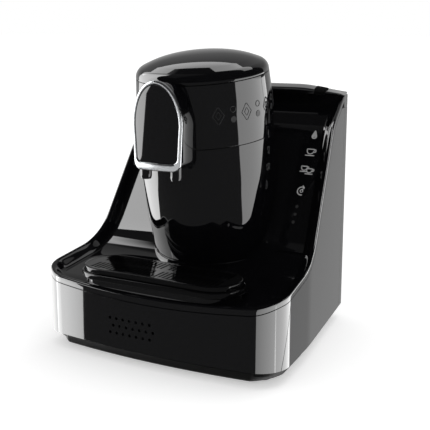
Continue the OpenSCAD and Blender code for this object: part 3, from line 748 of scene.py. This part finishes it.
def add_lug(bm, x0, x1, radius, root_y, root_s0, root_s1):
    """A hinge lug along X: a rounded eye and the tongue that ties it to the wall."""
    mid = Matrix.Translation(Vector(((x0 + x1) / 2, HINGE_Y, HINGE_S)) * MM) @ Matrix.Rotation(
        math.pi / 2, 4, "Y")
    lug = bmesh.new()
    add_rod(lug, radius, x1 - x0, mid, 28)
    soften(lug, 0.5, 60, 3)
    add_block(lug, ((x0 + x1) / 2, (HINGE_Y + root_y) / 2, (root_s0 + root_s1) / 2),
              (x1 - x0 - 0.8, HINGE_Y - root_y, root_s1 - root_s0))
    bmesh.ops.transform(lug, matrix=TO_TOWER, verts=lug.verts)
    add_part(bm, lug)


bm = bmesh.new()
spin_profile(bm, shell_profile(COLLAR_S, LID_S - 0.2), TO_TOWER)
spin_profile(bm, [(MOUTH_R - 1.0, -7.5), (MOUTH_R - 1.0, -5.0), (56.4, -5.0), (56.0, -5.4),
                  (56.0, -7.5)], TO_TOWER)
for side in (-1, 1):
    add_lug(bm, side * (EAR_X + 3) - 3, side * (EAR_X + 3) + 3, HINGE_R, 62.0,
            HINGE_S - HINGE_R, HINGE_S + 2)
collar = make_piece("collar_shell", bm, gloss_abs, "housing", ["tower_collar"])

# Raised ornament on the collar, moulded with it: lozenges and small rings by turns.
RIDGE = 0.38
BAND_S = -21.5
RING_R = 2.6
RING_UP = 4.6


def add_ridge(bm, turn_deg, outline, width):
    """A raised line round a closed outline of (along, up) millimetres on the collar."""
    n = len(outline)
    loops = []
    for offset, lift in ((-width / 2, -0.1), (-width / 5, RIDGE), (width / 5, RIDGE),
                         (width / 2, -0.1)):
        verts = []
        for i in range(n):
            ahead = outline[(i + 1) % n] - outline[i - 1]
            p = outline[i] + offset * Vector((ahead.y, -ahead.x)).normalized()
            r = tower_radius(BAND_S + p.y) + lift
            t = math.radians(turn_deg) + p.x / r
            co = TO_TOWER @ (Vector((r * math.sin(t), -r * math.cos(t), BAND_S + p.y)) * MM)
            verts.append(bm.verts.new(co))
        loops.append([bm.edges.new((verts[i], verts[(i + 1) % n])) for i in range(n)])
    bridge_rings(bm, loops, close=True)


def rounded_lozenge(wide, high, radius):
    """Closed outline of a lozenge with rounded corners."""
    tips = [Vector((0, high / 2)), Vector((wide / 2, 0)), Vector((0, -high / 2)),
            Vector((-wide / 2, 0))]
    outline = []
    for i in range(4):
        outline += arc_corner(tips[i - 1], tips[i], tips[(i + 1) % 4], radius, 6)
    return outline


def small_ring(up):
    """Closed outline of a circle whose middle lies up from the band's."""
    turns = [2 * math.pi * i / 24 for i in range(24)]
    return [Vector((RING_R * math.cos(t), up + RING_R * math.sin(t))) for t in turns]


bm = bmesh.new()
for side in (-1, 1):
    for k in range(9):
        turn = side * (40.0 + 12.5 * k)
        if k % 2 == 0:
            add_ridge(bm, turn, rounded_lozenge(11.0, 17.0, 1.2), 1.0)
            add_ridge(bm, turn, rounded_lozenge(5.0, 8.0, 0.7), 0.8)
        else:
            add_ridge(bm, turn, small_ring(RING_UP), 0.9)
            add_ridge(bm, turn, small_ring(-RING_UP), 0.9)

# The ornament's part of the tool is etched: satin black, so that its lines catch the light.
# Its base colour is a dark grey, lighter than the housing's black: a painted highlight on the
# lines.
satin_abs_painted_highlight = finish("satin_black_abs_painted_highlight", grains(0.5, 2.0), 0.004, "#2a2a2b", (0.24, 0.34),
                   {"IOR": 1.54})
make_piece("collar_ornament", bm, satin_abs_painted_highlight, "housing", ["tower_collar"])

# ---- Tower lid ------------------------------------------------------------------------------
# A shallow domed cover in the same piano-black ABS, hinged behind the collar. It snaps down
# over the chamber's mouth with a thin shadow gap at the collar.

def dome_height(r):
    """Height of the lid's dome along the tower's axis, at a distance from it."""
    return LID_S + 20.2 - 2.14e-3 * r ** 2 - 3.26e-7 * r ** 4


LID_PATH = rounded_path([
    (MOUTH_R, LID_S + 0.3, 0), (MOUTH_R - 0.6, LID_S + 7.5, 10), (50, dome_height(50), 0)], 14)
LID_PATH += [Vector((r, dome_height(r))) for r in range(48, -1, -2)]
bm = bmesh.new()
inside = [(max(p.x - 2.6, 0.0), p.y - 2.4) for p in reversed(LID_PATH)]
spin_profile(bm, [(p.x, p.y) for p in LID_PATH] + inside[:-1] + [(MOUTH_R - 2.6, LID_S + 0.3)],
             TO_TOWER)
soften(bm, 0.3, 60)
add_lug(bm, -EAR_X + 0.5, EAR_X - 0.5, HINGE_R - 0.2, 61.5, LID_S + 0.6, LID_S + 4.6)
for turn in (30, 150, 270):
    post = Matrix.Rotation(math.radians(turn), 4, "Z") @ Matrix.Translation((0.040, 0, 0.0155))
    add_rod(bm, 3.5, 10.6, TO_TOWER @ post, 24)
lid_cover = make_piece("lid_cover", bm, gloss_abs, "lid", ["tower_lid"])

# Satin stainless steel: the liner, the chamber and their sensors, spun or pressed and then
# brushed round; the brushing shows as a soft unevenness in the shine.
satin_steel = finish("satin_stainless_steel", grains(1.2, 4.0), 0.006, "#c9cacb", (0.22, 0.36),
                     {"Metallic": 1.0, "Anisotropic": 0.4})

# Food-grade silicone: milky grey, matt, faintly see-through at its edges.
seal_silicone = finish("grey_silicone", grains(1.5, 2.0), 0.02, "#6f6f6e", (0.5, 0.62), {
    "IOR": 1.43, "Subsurface Weight": 0.1, "Subsurface Scale": 0.002})

finish_node(satin_steel, "lid_liner", "foam_sensor")
finish_node(seal_silicone, "lid_seal")
finish_node(zinc_steel, "lid_hinge_pin")

# ---- Brewing unit ---------------------------------------------------------------------------
# The chamber hangs in the tower by its rim: a deep-drawn steel pot in a plastic jacket, with
# a cast heater, its sensor and fuse underneath, and the solenoid valve at its drain.

# Glass-filled nylon: matt and near black, with a dry mottled skin from the fibres.
filled_nylon = finish("glass_filled_nylon", grains(0.7, 5.0), 0.03, ("#191919", "#29292b"),
                      0.55, {"IOR": 1.53})

# Die-cast aluminium: dull grey with the die's pebbled skin.
cast_aluminium = finish("die_cast_aluminium", grains(1.0, 4.0), 0.05, "#a3a5a8", (0.42, 0.6),
                        {"Metallic": 1.0})

# Steatite ceramic: a warm chalky body, fired without glaze.
steatite = finish("steatite_ceramic", grains(0.9, 4.0), 0.02, ("#d9cfba", "#ece5d6"), 0.66,
                  {"IOR": 1.6})

# Enamelled copper wire wound in fine layers, drawn as one band to a millimetre so they show.
# Each band is bumped into a ridge, with painted shade in dark brown along its groove.
winding_ridges_and_shade = ("TexWave", {"bands_direction": "Z"}, {
    "Scale": 1 / (6.283 * 1.0 * MM) * 2, "Distortion": 0.4})
wound_copper = finish("enamelled_copper_winding_painted_shade", winding_ridges_and_shade, 0.15, ("#5a2f16", "#a8602c"), 0.34,
                      {"Metallic": 0.6})

finish_node(satin_steel, "brew_chamber", "temperature_sensor", "outlet_plunger")
finish_node(filled_nylon, "chamber_jacket", "outlet_valve", "outlet_manifold")
finish_node(cast_aluminium, "heater_plate")
finish_node(steatite, "thermal_fuse")
finish_node(wound_copper, "valve_coil")

# ---- Spout ----------------------------------------------------------------------------------
# A moulded cover carries the spout's arched face: a bright chrome frame, and in it a bare
# gloss insert. The face is rounded across its width.

SPOUT_W = 26.0
SPOUT_Z = 180.0
ARCH_H = 39.5
ARCH_MID = 40.0
FACE_Y = -97.0
FACE_BOW = 100.0


def arch_points(inset, foot_inset, radius):
    """Closed outline (x, z) of the spout's arch, drawn in by inset, and by foot_inset below."""
    w = SPOUT_W - inset
    mid = SPOUT_Z + ARCH_MID
    foot = Vector((w - 2, SPOUT_Z + foot_inset))
    side = Vector((w, mid))
    right = arc_corner(Vector((0, foot.y)), foot, side, radius, 8)
    top = [Vector((w * math.cos(t), mid + (ARCH_H - inset) * math.sin(t)))
           for t in (math.pi * i / 48 for i in range(25))]
    rise = [right[-1].lerp(side, k / 10) for k in range(1, 10)]
    return both_sides([Vector((x, foot.y)) for x in (0, w * 0.3, w * 0.55)] + right + rise + top)


def front(depth):
    """The rounded face's y as a function of x, set back by depth."""
    return lambda x: FACE_Y + depth + FACE_BOW - math.sqrt(FACE_BOW ** 2 - x * x)


def arch_ring(bm, inset, foot_inset, y, radius=8.0):
    """A closed ring round the arch; y is a number or a function of x."""
    return ring_through(bm, [(p.x, y(p.x) if callable(y) else y, p.y)
                             for p in arch_points(inset, foot_inset, radius)])


# Bright chromium plate on ABS: a mirror softened a little by the mould's polish.
chrome = finish("bright_chrome_plate", grains(6.0, 1.0), 0.004, "#d6d8da", 0.24,
                {"Metallic": 1.0})

bm = bmesh.new()
bridge_rings(bm, [arch_ring(bm, *row) for row in (
    (0.0, 0.0, -92.6), (0.0, 0.0, front(1.5)), (0.15, 0.15, front(0.85)),
    (0.5, 0.5, front(0.4)), (1.0, 1.2, front(0.12)), (1.6, 2.4, front(0.0), 7.4),
    (2.2, 5.0, front(0.12), 6.4), (2.7, 6.2, front(0.4), 5.9), (3.05, 6.85, front(0.85), 5.5),
    (3.15, 6.95, front(1.4), 5.4), (3.15, 6.95, -92.6, 5.4))], close=True)
spout_frame = make_piece("chrome_arch", bm, chrome, "housing", ["spout_frame"], 60.0)

# The insert's plastic is the housing's, moulded on a polished core: the same mirror black.
bm = bmesh.new()
rows = [(3.35, 7.15, -92.7, 5.2), (3.35, 7.15, front(1.3), 5.2), (3.8, 7.6, front(0.85), 5.0)]
rows += [(3.8 + 1.9 * k, 7.6 + 2.6 * k, front(0.8), max(5.0 - 0.4 * k, 0.6))
         for k in range(1, 12)]
bridge_and_cap(bm, [arch_ring(bm, *row) for row in rows])
make_piece("face_insert", bm, gloss_abs, "housing", ["spout_insert"])

bm = bmesh.new()
bridge_rings(bm, [arch_ring(bm, *row) for row in (
    (1.9, 0.9, -92.2), (1.5, 0.5, -91.6), (1.5, 0.5, -72.0), (1.5, 0.5, -50.0),
    (3.7, 2.6, -50.0), (3.7, 2.6, -92.2))], close=True)
spout_housing = make_piece("spout_cover", bm, gloss_abs, "housing", ["spout_housing"])
bm = bmesh.new()
spin_profile(bm, [(0.0, FOOT_S)] + [(tower_radius(s) + 0.15, s) for s in
                                    (FOOT_S, -140, -120, -90, -60, -30, -16, -4, LID_S)]
             + [(MOUTH_R + 0.6, 60.0), (0.0, 60.0)], TO_TOWER)
cut_with(spout_housing, bm)

# ---- Nozzles --------------------------------------------------------------------------------
# Two short glossy tubes pushed up into the spout's floor; the coffee runs out of both at once.

NOZZLE_X = 16.0
NOZZLE_R = 5.2
NOZZLE_Y = -87.2
NOZZLE_Z = 171.0
bm = bmesh.new()
for side in (-1, 1):
    tube = bmesh.new()
    spin_profile(tube, [
        (3.4, 0.0), (4.2, 0.0), (4.5, 0.3), (NOZZLE_R - 0.1, 2.2), (NOZZLE_R, 4.0),
        (NOZZLE_R, 14.0), (3.4, 14.0)],
        Matrix.Translation((side * NOZZLE_X * MM, NOZZLE_Y * MM, NOZZLE_Z * MM)), 40)
    add_part(bm, tube)
make_piece("nozzle_tubes", bm, gloss_abs, "housing", ["nozzles"])

# ---- Drip tray ------------------------------------------------------------------------------
# A round-ended basin that drops into the deck; its rim stands on the deck in two glossy tiers,
# the grate's plate above and the tray's own lip below.

GRATE_Z = 86.8
RIM_Z = GRATE_Z - 10.8

# Gloss ABS again, but wiped daily: a shade softer than the housing's, with fine wear.
tray_abs = finish("gloss_black_abs_worn", grains(9.0, 2.0), 0.005, "#070708", (0.05, 0.11),
                  {"IOR": 1.5})

bm = bmesh.new()
bridge_and_cap(bm, [tray_ring(bm, TRAY_R + dr, z) for dr, z in (
    (-9.0, 63.0), (-7.5, 63.4), (-7.3, 64.5), (-7.3, RIM_Z + 2), (-2.05, RIM_Z + 2.0),
    (-2.0, GRATE_Z - 5.2), (-1.7, GRATE_Z - 5.0), (-1.0, GRATE_Z - 5.0),
    (-0.35, GRATE_Z - 5.4), (0.0, GRATE_Z - 6.4), (0.0, RIM_Z + 1.6), (-0.4, RIM_Z + 0.6),
    (-1.2, RIM_Z), (-5.8, RIM_Z), (-5.8, 62.4), (-6.6, 61.3), (-9.0, 61.2))])
make_piece("tray_basin", bm, tray_abs, "drip_tray", ["drip_tray"])

SLOT_PITCH = 4.4
SLOT_W = 2.0
SLOT_LENGTH = 17.5
SLOT_ROW = 12.25           # from the tray's axis to the middle of a row
bm = bmesh.new()
bridge_and_cap(bm, [tray_ring(bm, TRAY_R + dr, z, waist) for dr, z, waist in (
    (-8.0, GRATE_Z - 0.3, 1.2), (-5.0, GRATE_Z, 1.2), (-3.4, GRATE_Z, 1.2),
    (-2.75, GRATE_Z - 0.4, 1.2), (-2.5, GRATE_Z - 1.2, 1.2), (-2.5, GRATE_Z - 3.6, 1.2),
    (-2.7, GRATE_Z - 4.3, 1.0), (-2.7, RIM_Z + 2.3, 0.6), (-4.0, RIM_Z + 2.3, 0),
    (-4.0, GRATE_Z - 2.6, 0), (-8.0, GRATE_Z - 2.6, 0))])
drip_grate = make_piece("grate_plate", bm, tray_abs, "drip_grate", ["drip_grate"])
bm = bmesh.new()
for i in range(-16, 17):
    past_end = max(abs(i * SLOT_PITCH) - TRAY_L, 0)
    if i and math.hypot(past_end, SLOT_ROW + SLOT_LENGTH / 2) < TRAY_R - 4.5:
        for row in (-1, 1):
            add_block(bm, (i * SLOT_PITCH, TRAY_Y + row * SLOT_ROW, GRATE_Z - 1.3),
                      (SLOT_W, SLOT_LENGTH, 6.0))
cut_with(drip_grate, bm)

# ---- Tank lid -------------------------------------------------------------------------------
# A frame that hangs in the tank's mouth carries a rounded bar, whose lip overhangs the riser
# and whose crown falls towards both ends. A soft matt tab wraps over it as a grip.

LID_SPLIT = 238.6


def back_bar(inset, front_y, z0, z1):
    """A closed bar across the back: the plan behind a line, between two heights."""
    bm = bmesh.new()
    bridge_and_cap(bm, [plan_ring(bm, inset, z0), plan_ring(bm, inset, z1)])
    keep_side(bm, (0, front_y, 0), (0, -1, 0))
    return bm


bm = back_bar(0.05, 93.2, 226.3, LID_SPLIT - 0.1)
soften(bm, 0.3)
lid_frame = make_piece("lid_frame", bm, gloss_abs, "tank_lid", ["tank_lid_frame"])
cut_with(lid_frame, back_bar(3.0, 95.8, 228.0, 260.0))
cut_with(lid_frame, back_bar(7.5, 97.6, 200.0, 260.0))

LID_SECTION = rounded_path([
    (104.0, LID_SPLIT, 0), (89.0, LID_SPLIT, 0.8), (88.7, 244.4, 4), (101, 248.5, 14),
    (BACK_Y, 244.4, 9), (BACK_Y, LID_SPLIT, 0)], 8)
CROWN_Z = 248.6
LID_CROWN = rounded_path([
    (0, CROWN_Z, 0), (60, CROWN_Z, 120), (103.5, 240.9, 12), (118, 222, 0)], 16)
LID_COLUMNS = 56

lid_side = flank_x(0.05)


def crowned(x, z):
    """Height of a place on the lid's section once the crown has drawn it down."""
    share = (on_path(LID_CROWN, abs(x)) - LID_SPLIT) / (CROWN_Z - LID_SPLIT)
    return LID_SPLIT + (z - LID_SPLIT) * max(share, 0.02)


def lid_column(u):
    """Places of the lid's section at a share u of its half width."""
    return [Vector((u * lid_side(p.x), p.x, crowned(u * lid_side(p.x), p.y))) * MM
            for p in LID_SECTION]


bm = bmesh.new()
columns = [math.sin(math.pi / 2 * (2 * i / LID_COLUMNS - 1)) for i in range(LID_COLUMNS + 1)]
verts = [bm.verts.new(co) for co in lid_column(columns[0])]
edges = [bm.edges.new(pair) for pair in zip(verts, verts[1:] + verts[:1])]
for u in columns[1:]:
    made = bmesh.ops.extrude_edge_only(bm, edges=edges)["geom"]
    edges = [e for e in made if isinstance(e, bmesh.types.BMEdge)
             and all(v in made for v in e.verts)]
    fresh = [v for v in made if isinstance(v, bmesh.types.BMVert)]
    for v, co in zip(fresh, lid_column(u)):
        v.co = co
bmesh.ops.holes_fill(bm, edges=bm.edges[:], sides=0)
lid_bar = make_piece("lid_bar", bm, gloss_abs, "tank_lid", ["tank_lid"])

# Soft-touch elastomer: velvety, holds a little dust, hardly any shine.
soft_grip = finish("soft_touch_elastomer", grains(0.6, 3.0), 0.02, "#030303", (0.6, 0.75), {
    "IOR": 1.45, "Specular IOR Level": 0.15})

TAB_X = (73.0, 85.0)
bm = bmesh.new()
path = [p for p in LID_SECTION if p.x < 98.8 and p.y > LID_SPLIT + 0.6]
strips = []
for x, lift in ((TAB_X[0], 0.2), (TAB_X[0], 1.0), (TAB_X[0] + 0.4, 1.45),
                (TAB_X[1] - 0.4, 1.45), (TAB_X[1], 1.0), (TAB_X[1], 0.2)):
    strip = []
    for i, p in enumerate(path):
        along = along_path(path, i)
        q = p + lift * Vector((-along.y, along.x))
        strip.append(bm.verts.new(Vector((x, q.x, crowned(x, p.y) + q.y - p.y)) * MM))
    strips.append(strip)
for a, b in zip(strips, strips[1:] + strips[:1]):
    for i in range(len(path) - 1):
        bm.faces.new((a[i], a[i + 1], b[i + 1], b[i]))
for i in (0, len(path) - 1):
    bm.faces.new([s[i] for s in strips])
make_piece("grip_tab", bm, soft_grip, "tank_lid", ["tank_lid_tab"])

# ---- Water tank and its valve ---------------------------------------------------------------
# The tank stands on a shelf behind the riser. A spring-loaded foot valve opens on the
# coupling's pin when the tank is set down.

# Smoked styrene-acrylonitrile: clear, greyish brown, with the mould's faint ripple.
smoked_clear = finish("smoked_clear_san", grains(20.0, 1.0), 0.01, "#8b9095", 0.04, {
    "IOR": 1.57, "Transmission Weight": 0.92})

# Natural acetal: off-white, waxy, lets a little light in.
natural_acetal = finish("natural_acetal", grains(1.0, 2.0), 0.01, "#dcdbd6", (0.28, 0.4), {
    "IOR": 1.48, "Subsurface Weight": 0.2, "Subsurface Scale": 0.002})

# Stainless spring wire: its turns, 1.6 mm apart, stand out as rounded ridges; between them
# the gaps are painted shade in dark grey.
coil_ridges_and_shade = ("TexWave", {"bands_direction": "Z"}, {"Scale": math.pi / (10 * 1.6 * MM)})
spring_wire = finish("coiled_spring_wire_painted_shade", coil_ridges_and_shade, 0.4, ("#3a3b3d", "#c3c5c8"), 0.25,
                     {"Metallic": 1.0})

finish_node(smoked_clear, "water_tank")
finish_node(natural_acetal, "tank_valve")
finish_node(spring_wire, "tank_valve_spring")
finish_node(seal_silicone, "tank_valve_seal")
finish_node(filled_nylon, "tank_shelf", "tank_coupling")

# ---- Pump, hoses and electrics --------------------------------------------------------------
# A vibrating pump on rubber mounts, its silicone hoses, the control board on posts, the
# sounder behind the holes in the front cover, and the gland of the mains lead.

# Zinc-plated steel can with a sprayed grey lacquer, slightly orange-peeled.
grey_lacquer = finish("grey_lacquered_steel", grains(1.6, 3.0), 0.02, "#7c8085", (0.3, 0.42),
                      {"Metallic": 0.4})

# Platinum-cured silicone hose: milky and see-through at its edges.
milky_silicone = finish("milky_silicone_hose", grains(2.5, 2.0), 0.01, "#d4d8d9", (0.35, 0.5), {
    "IOR": 1.41, "Subsurface Weight": 0.4, "Subsurface Scale": 0.003})

# Solder mask over glass-epoxy: deep green, with the copper tracks faintly raised below.
tracks = ("TexVoronoi", {"distance": "CHEBYCHEV"}, {
    "Scale": 1 / (4.0 * MM), "Randomness": 0.6})
solder_mask = finish("green_solder_mask", tracks, 0.03, ("#17472b", "#2a6b42"), 0.3,
                     {"IOR": 1.5})

finish_node(grey_lacquer, "pump", "sounder")
finish_node(foot_rubber, "pump_mounts")
finish_node(milky_silicone, "suction_hose", "delivery_hose", "outlet_pipe")
finish_node(solder_mask, "control_board", "touch_board")
finish_node(filled_nylon, "cord_gland")

# ---- Floor and light ------------------------------------------------------------------------
# A white worktop in a studio. Tall softboxes stand to the left and to the right and a strip
# light hangs above; the room ahead of the machine is dark, so that its gloss front stays black
# between their reflections. The panels are mirrored only by named pieces, the top light by none.

floor_paint = new_material("white_worktop")
path = add_node(floor_paint, "LightPath")
matt = add_node(floor_paint, "BsdfDiffuse", None, {"Color": linear("#f4f4f4")})
glow = add_node(floor_paint, "Emission", None, {"Color": (1, 1, 1, 1), "Strength": 0.42})
both = add_node(floor_paint, "AddShader", None, {0: matt.outputs[0], 1: glow.outputs[0]})
surface(floor_paint, add_node(floor_paint, "MixShader", None, {
    0: path.outputs["Is Camera Ray"], 1: matt.outputs[0], 2: both.outputs[0]}))
bm = bmesh.new()
bmesh.ops.create_grid(bm, x_segments=2, y_segments=2, size=40.0)
mesh = bpy.data.meshes.new("worktop")
bm.to_mesh(mesh)
bm.free()
worktop = bpy.data.objects.new("worktop", mesh)
bpy.context.collection.objects.link(worktop)
mesh.materials.append(floor_paint)
worktop.visible_glossy = False

studio = bpy.data.worlds.new("studio")
bpy.context.scene.world = studio
studio.use_nodes = True
studio.node_tree.nodes.clear()


def between(value, low_edge, high_edge, low_to=0.0, high_to=1.0):
    """Goes evenly from low_to to high_to while a value goes from one edge to the other."""
    return add_node(studio, "MapRange", None, {
        "Value": value, "From Min": low_edge, "From Max": high_edge,
        "To Min": low_to, "To Max": high_to}).outputs[0]


def maths(operation, a, b=0.0):
    """One arithmetic step in the studio's own nodes."""
    return add_node(studio, "Math", {"operation": operation}, {0: a, 1: b}).outputs[0]


def product(*factors):
    """The product of several sockets or numbers."""
    total = factors[0]
    for factor in factors[1:]:
        total = maths("MULTIPLY", total, factor)
    return total


towards = add_node(studio, "SeparateXYZ", None, {
    0: add_node(studio, "TexCoord").outputs["Generated"]})
turn = maths("DEGREES", maths("ARCTAN2", towards.outputs["X"], product(towards.outputs["Y"], -1)))
rise = maths("DEGREES", maths("ARCSINE", towards.outputs["Z"]))
below = maths("MINIMUM", rise, 0.0)
# Left softbox: its near edge leans, and it dims towards the back
lean = maths("ADD", product(below, -1.9), product(maths("MAXIMUM", rise, 0.0), 0.9))
near_edge = between(maths("ADD", turn, lean), -35.6, -36.4)
lower = maths("MINIMUM", maths("ADD", rise, 3.5), 0.0)
far_edge = between(maths("SUBTRACT", turn, product(lower, 2.7)), -111.0, -108.0)
left_box = product(near_edge, far_edge, between(turn, -80.0, -136.0, 4.4, 0.7),
                   between(rise, 58.0, 54.5))
# Right softbox: from beside the machine to behind its right shoulder
right_box = product(between(turn, 84.2, 85.2), between(turn, 146.5, 145.0),
                    between(rise, 3.0, 1.5), 2.5)
# The grey room behind
dark_side = product(between(turn, 92.0, 96.0), between(turn, 158.5, 155.5))
behind = product(between(towards.outputs["Y"], 0.04, 0.16), between(rise, 6.0, 24.0, 0.42, 0.2),
                 between(rise, 54.0, 50.0), maths("SUBTRACT", 1.0, dark_side))
# The dark end of the room, and its ceiling, a little lighter to the left
ceiling = product(between(turn, -125.0, -120.0), between(turn, -34.0, -38.0),
                  between(rise, 47.0, 50.0), 0.06)
ahead = maths("MAXIMUM", between(rise, 9.0, 3.0, 0.018, 0.1), ceiling)
room = left_box
for part in (right_box, behind, ahead):
    room = maths("MAXIMUM", room, part)
path = add_node(studio, "LightPath")
fill_light = add_node(studio, "Background", None, {"Color": (1, 1, 1, 1), "Strength": 0.7})
mirrored = add_node(studio, "Background", None, {"Color": (1, 1, 1, 1), "Strength": room})
backdrop = add_node(studio, "Background", None, {"Color": (1, 1, 1, 1), "Strength": 1.0})
light = add_node(studio, "MixShader", None, {
    0: path.outputs["Is Glossy Ray"], 1: fill_light.outputs[0], 2: mirrored.outputs[0]})
seen = maths("MAXIMUM", path.outputs["Is Camera Ray"], path.outputs["Is Transmission Ray"])
light = add_node(studio, "MixShader", None, {
    0: seen, 1: light.outputs[0], 2: backdrop.outputs[0]})
studio.node_tree.links.new(light.outputs[0],
                           add_node(studio, "OutputWorld").inputs["Surface"])

LAMP_DISTANCE = 12.0


def softbox(name, at_turn, at_rise, wide, high, radiance, lean=0.0, shade=1.0, over=1.0,
            only=None):
    """A far area lamp placed by direction and size in degrees, of a given radiance.

    Over a share of its width its brightness goes to shade times radiance, at its right end.
    With only=, it is a panel that just those pieces mirror."""
    t, e = math.radians(at_turn), math.radians(at_rise)
    away = Vector((math.sin(t) * math.cos(e), -math.cos(t) * math.cos(e), math.sin(e)))
    lamp = bpy.data.lights.new(name, "AREA")
    lamp.shape = "RECTANGLE"
    lamp.size = 2 * LAMP_DISTANCE * math.tan(math.radians(wide / 2))
    lamp.size_y = 2 * LAMP_DISTANCE * math.tan(math.radians(high / 2))
    lamp.energy = radiance * lamp.size * lamp.size_y * math.pi
    thing = bpy.data.objects.new(name, lamp)
    thing.location = away * LAMP_DISTANCE
    thing.rotation_euler = (away.to_track_quat("Z", "Y").to_matrix()
                            @ Matrix.Rotation(math.radians(lean), 3, "Z")).to_euler()
    thing.visible_camera = False
    if only:
        thing.visible_diffuse = False
        group = bpy.data.collections.new(name + "_mirrored_by")
        for piece in only:
            group.objects.link(piece)
        thing.light_linking.receiver_collection = group
        thing.light_linking.blocker_collection = group
        lamp.use_nodes = True
        across = add_node(lamp, "SeparateXYZ", None, {
            0: add_node(lamp, "NewGeometry").outputs["Parametric"]})
        fade = add_node(lamp, "MapRange", None, {
            "Value": across.outputs[0], "From Min": 1.0 - over, "To Min": 1.0, "To Max": shade})
        lamp.node_tree.links.new(fade.outputs[0],
                                 lamp.node_tree.nodes["Emission"].inputs["Strength"])
    else:
        thing.visible_glossy = False
    bpy.context.collection.objects.link(thing)
    return thing


softbox("top_light", 150.0, 58.0, 40.0, 40.0, 1.0)
covers = [front_cover, rear_cover, deck_side] + side_covers
# Strip light above, lying flat across the machine
strip_light = softbox("strip_light", -53.0, 42.0, 30.0, 30.0, 1.0, only=[lid_cover])
strip_light.location = Vector((-0.885, 0.665, 1.0)) * LAMP_DISTANCE
strip_light.rotation_euler = (0.0, 0.0, 0.0)
strip = strip_light.data
strip.size = 3.03 * LAMP_DISTANCE
strip.size_y = 0.39 * LAMP_DISTANCE
strip.energy = 1.45 * math.pi * strip.size * strip.size_y
softbox("front_left_panel", -61.2, -20.0, 24.0, 34.0, 7.6, lean=-8.0, shade=0.6, over=0.35,
        only=covers)
softbox("front_right_panel", 50.5, -20.0, 65.5, 50.0, 2.2, shade=1.95, only=covers)
# Name, turn, rise, width, height, radiance, and the pieces that mirror the panel
for *panel, mirrors in (
        ("rear_right_panel", 118.5, -20.0, 68.0, 50.0, 2.2, covers),
        ("rear_right_end", 153.0, -11.0, 14.0, 28.0, 2.5, [barrel, collar, lid_cover] + covers),
        ("deck_reflector", 148.0, 53.0, 24.0, 18.0, 0.7, [deck, deck_side]),
        ("slope_reflector", -50.0, 36.0, 26.0, 32.0, 4.8, [deck]),
        ("bar_top_reflector", -150.0, 42.0, 50.0, 46.0, 0.5, [lid_bar]),
        ("bar_front_reflector", -32.0, 32.0, 30.0, 52.0, 0.36, [lid_bar]),
        ("bar_lip_reflector", -32.0, -36.0, 60.0, 50.0, 2.0, [lid_bar]),
        ("chrome_reflector", 0.0, -20.0, 100.0, 60.0, 0.5, [spout_frame])):
    softbox(*panel, only=mirrors)

bpy.context.scene.view_settings.view_transform = "Standard"
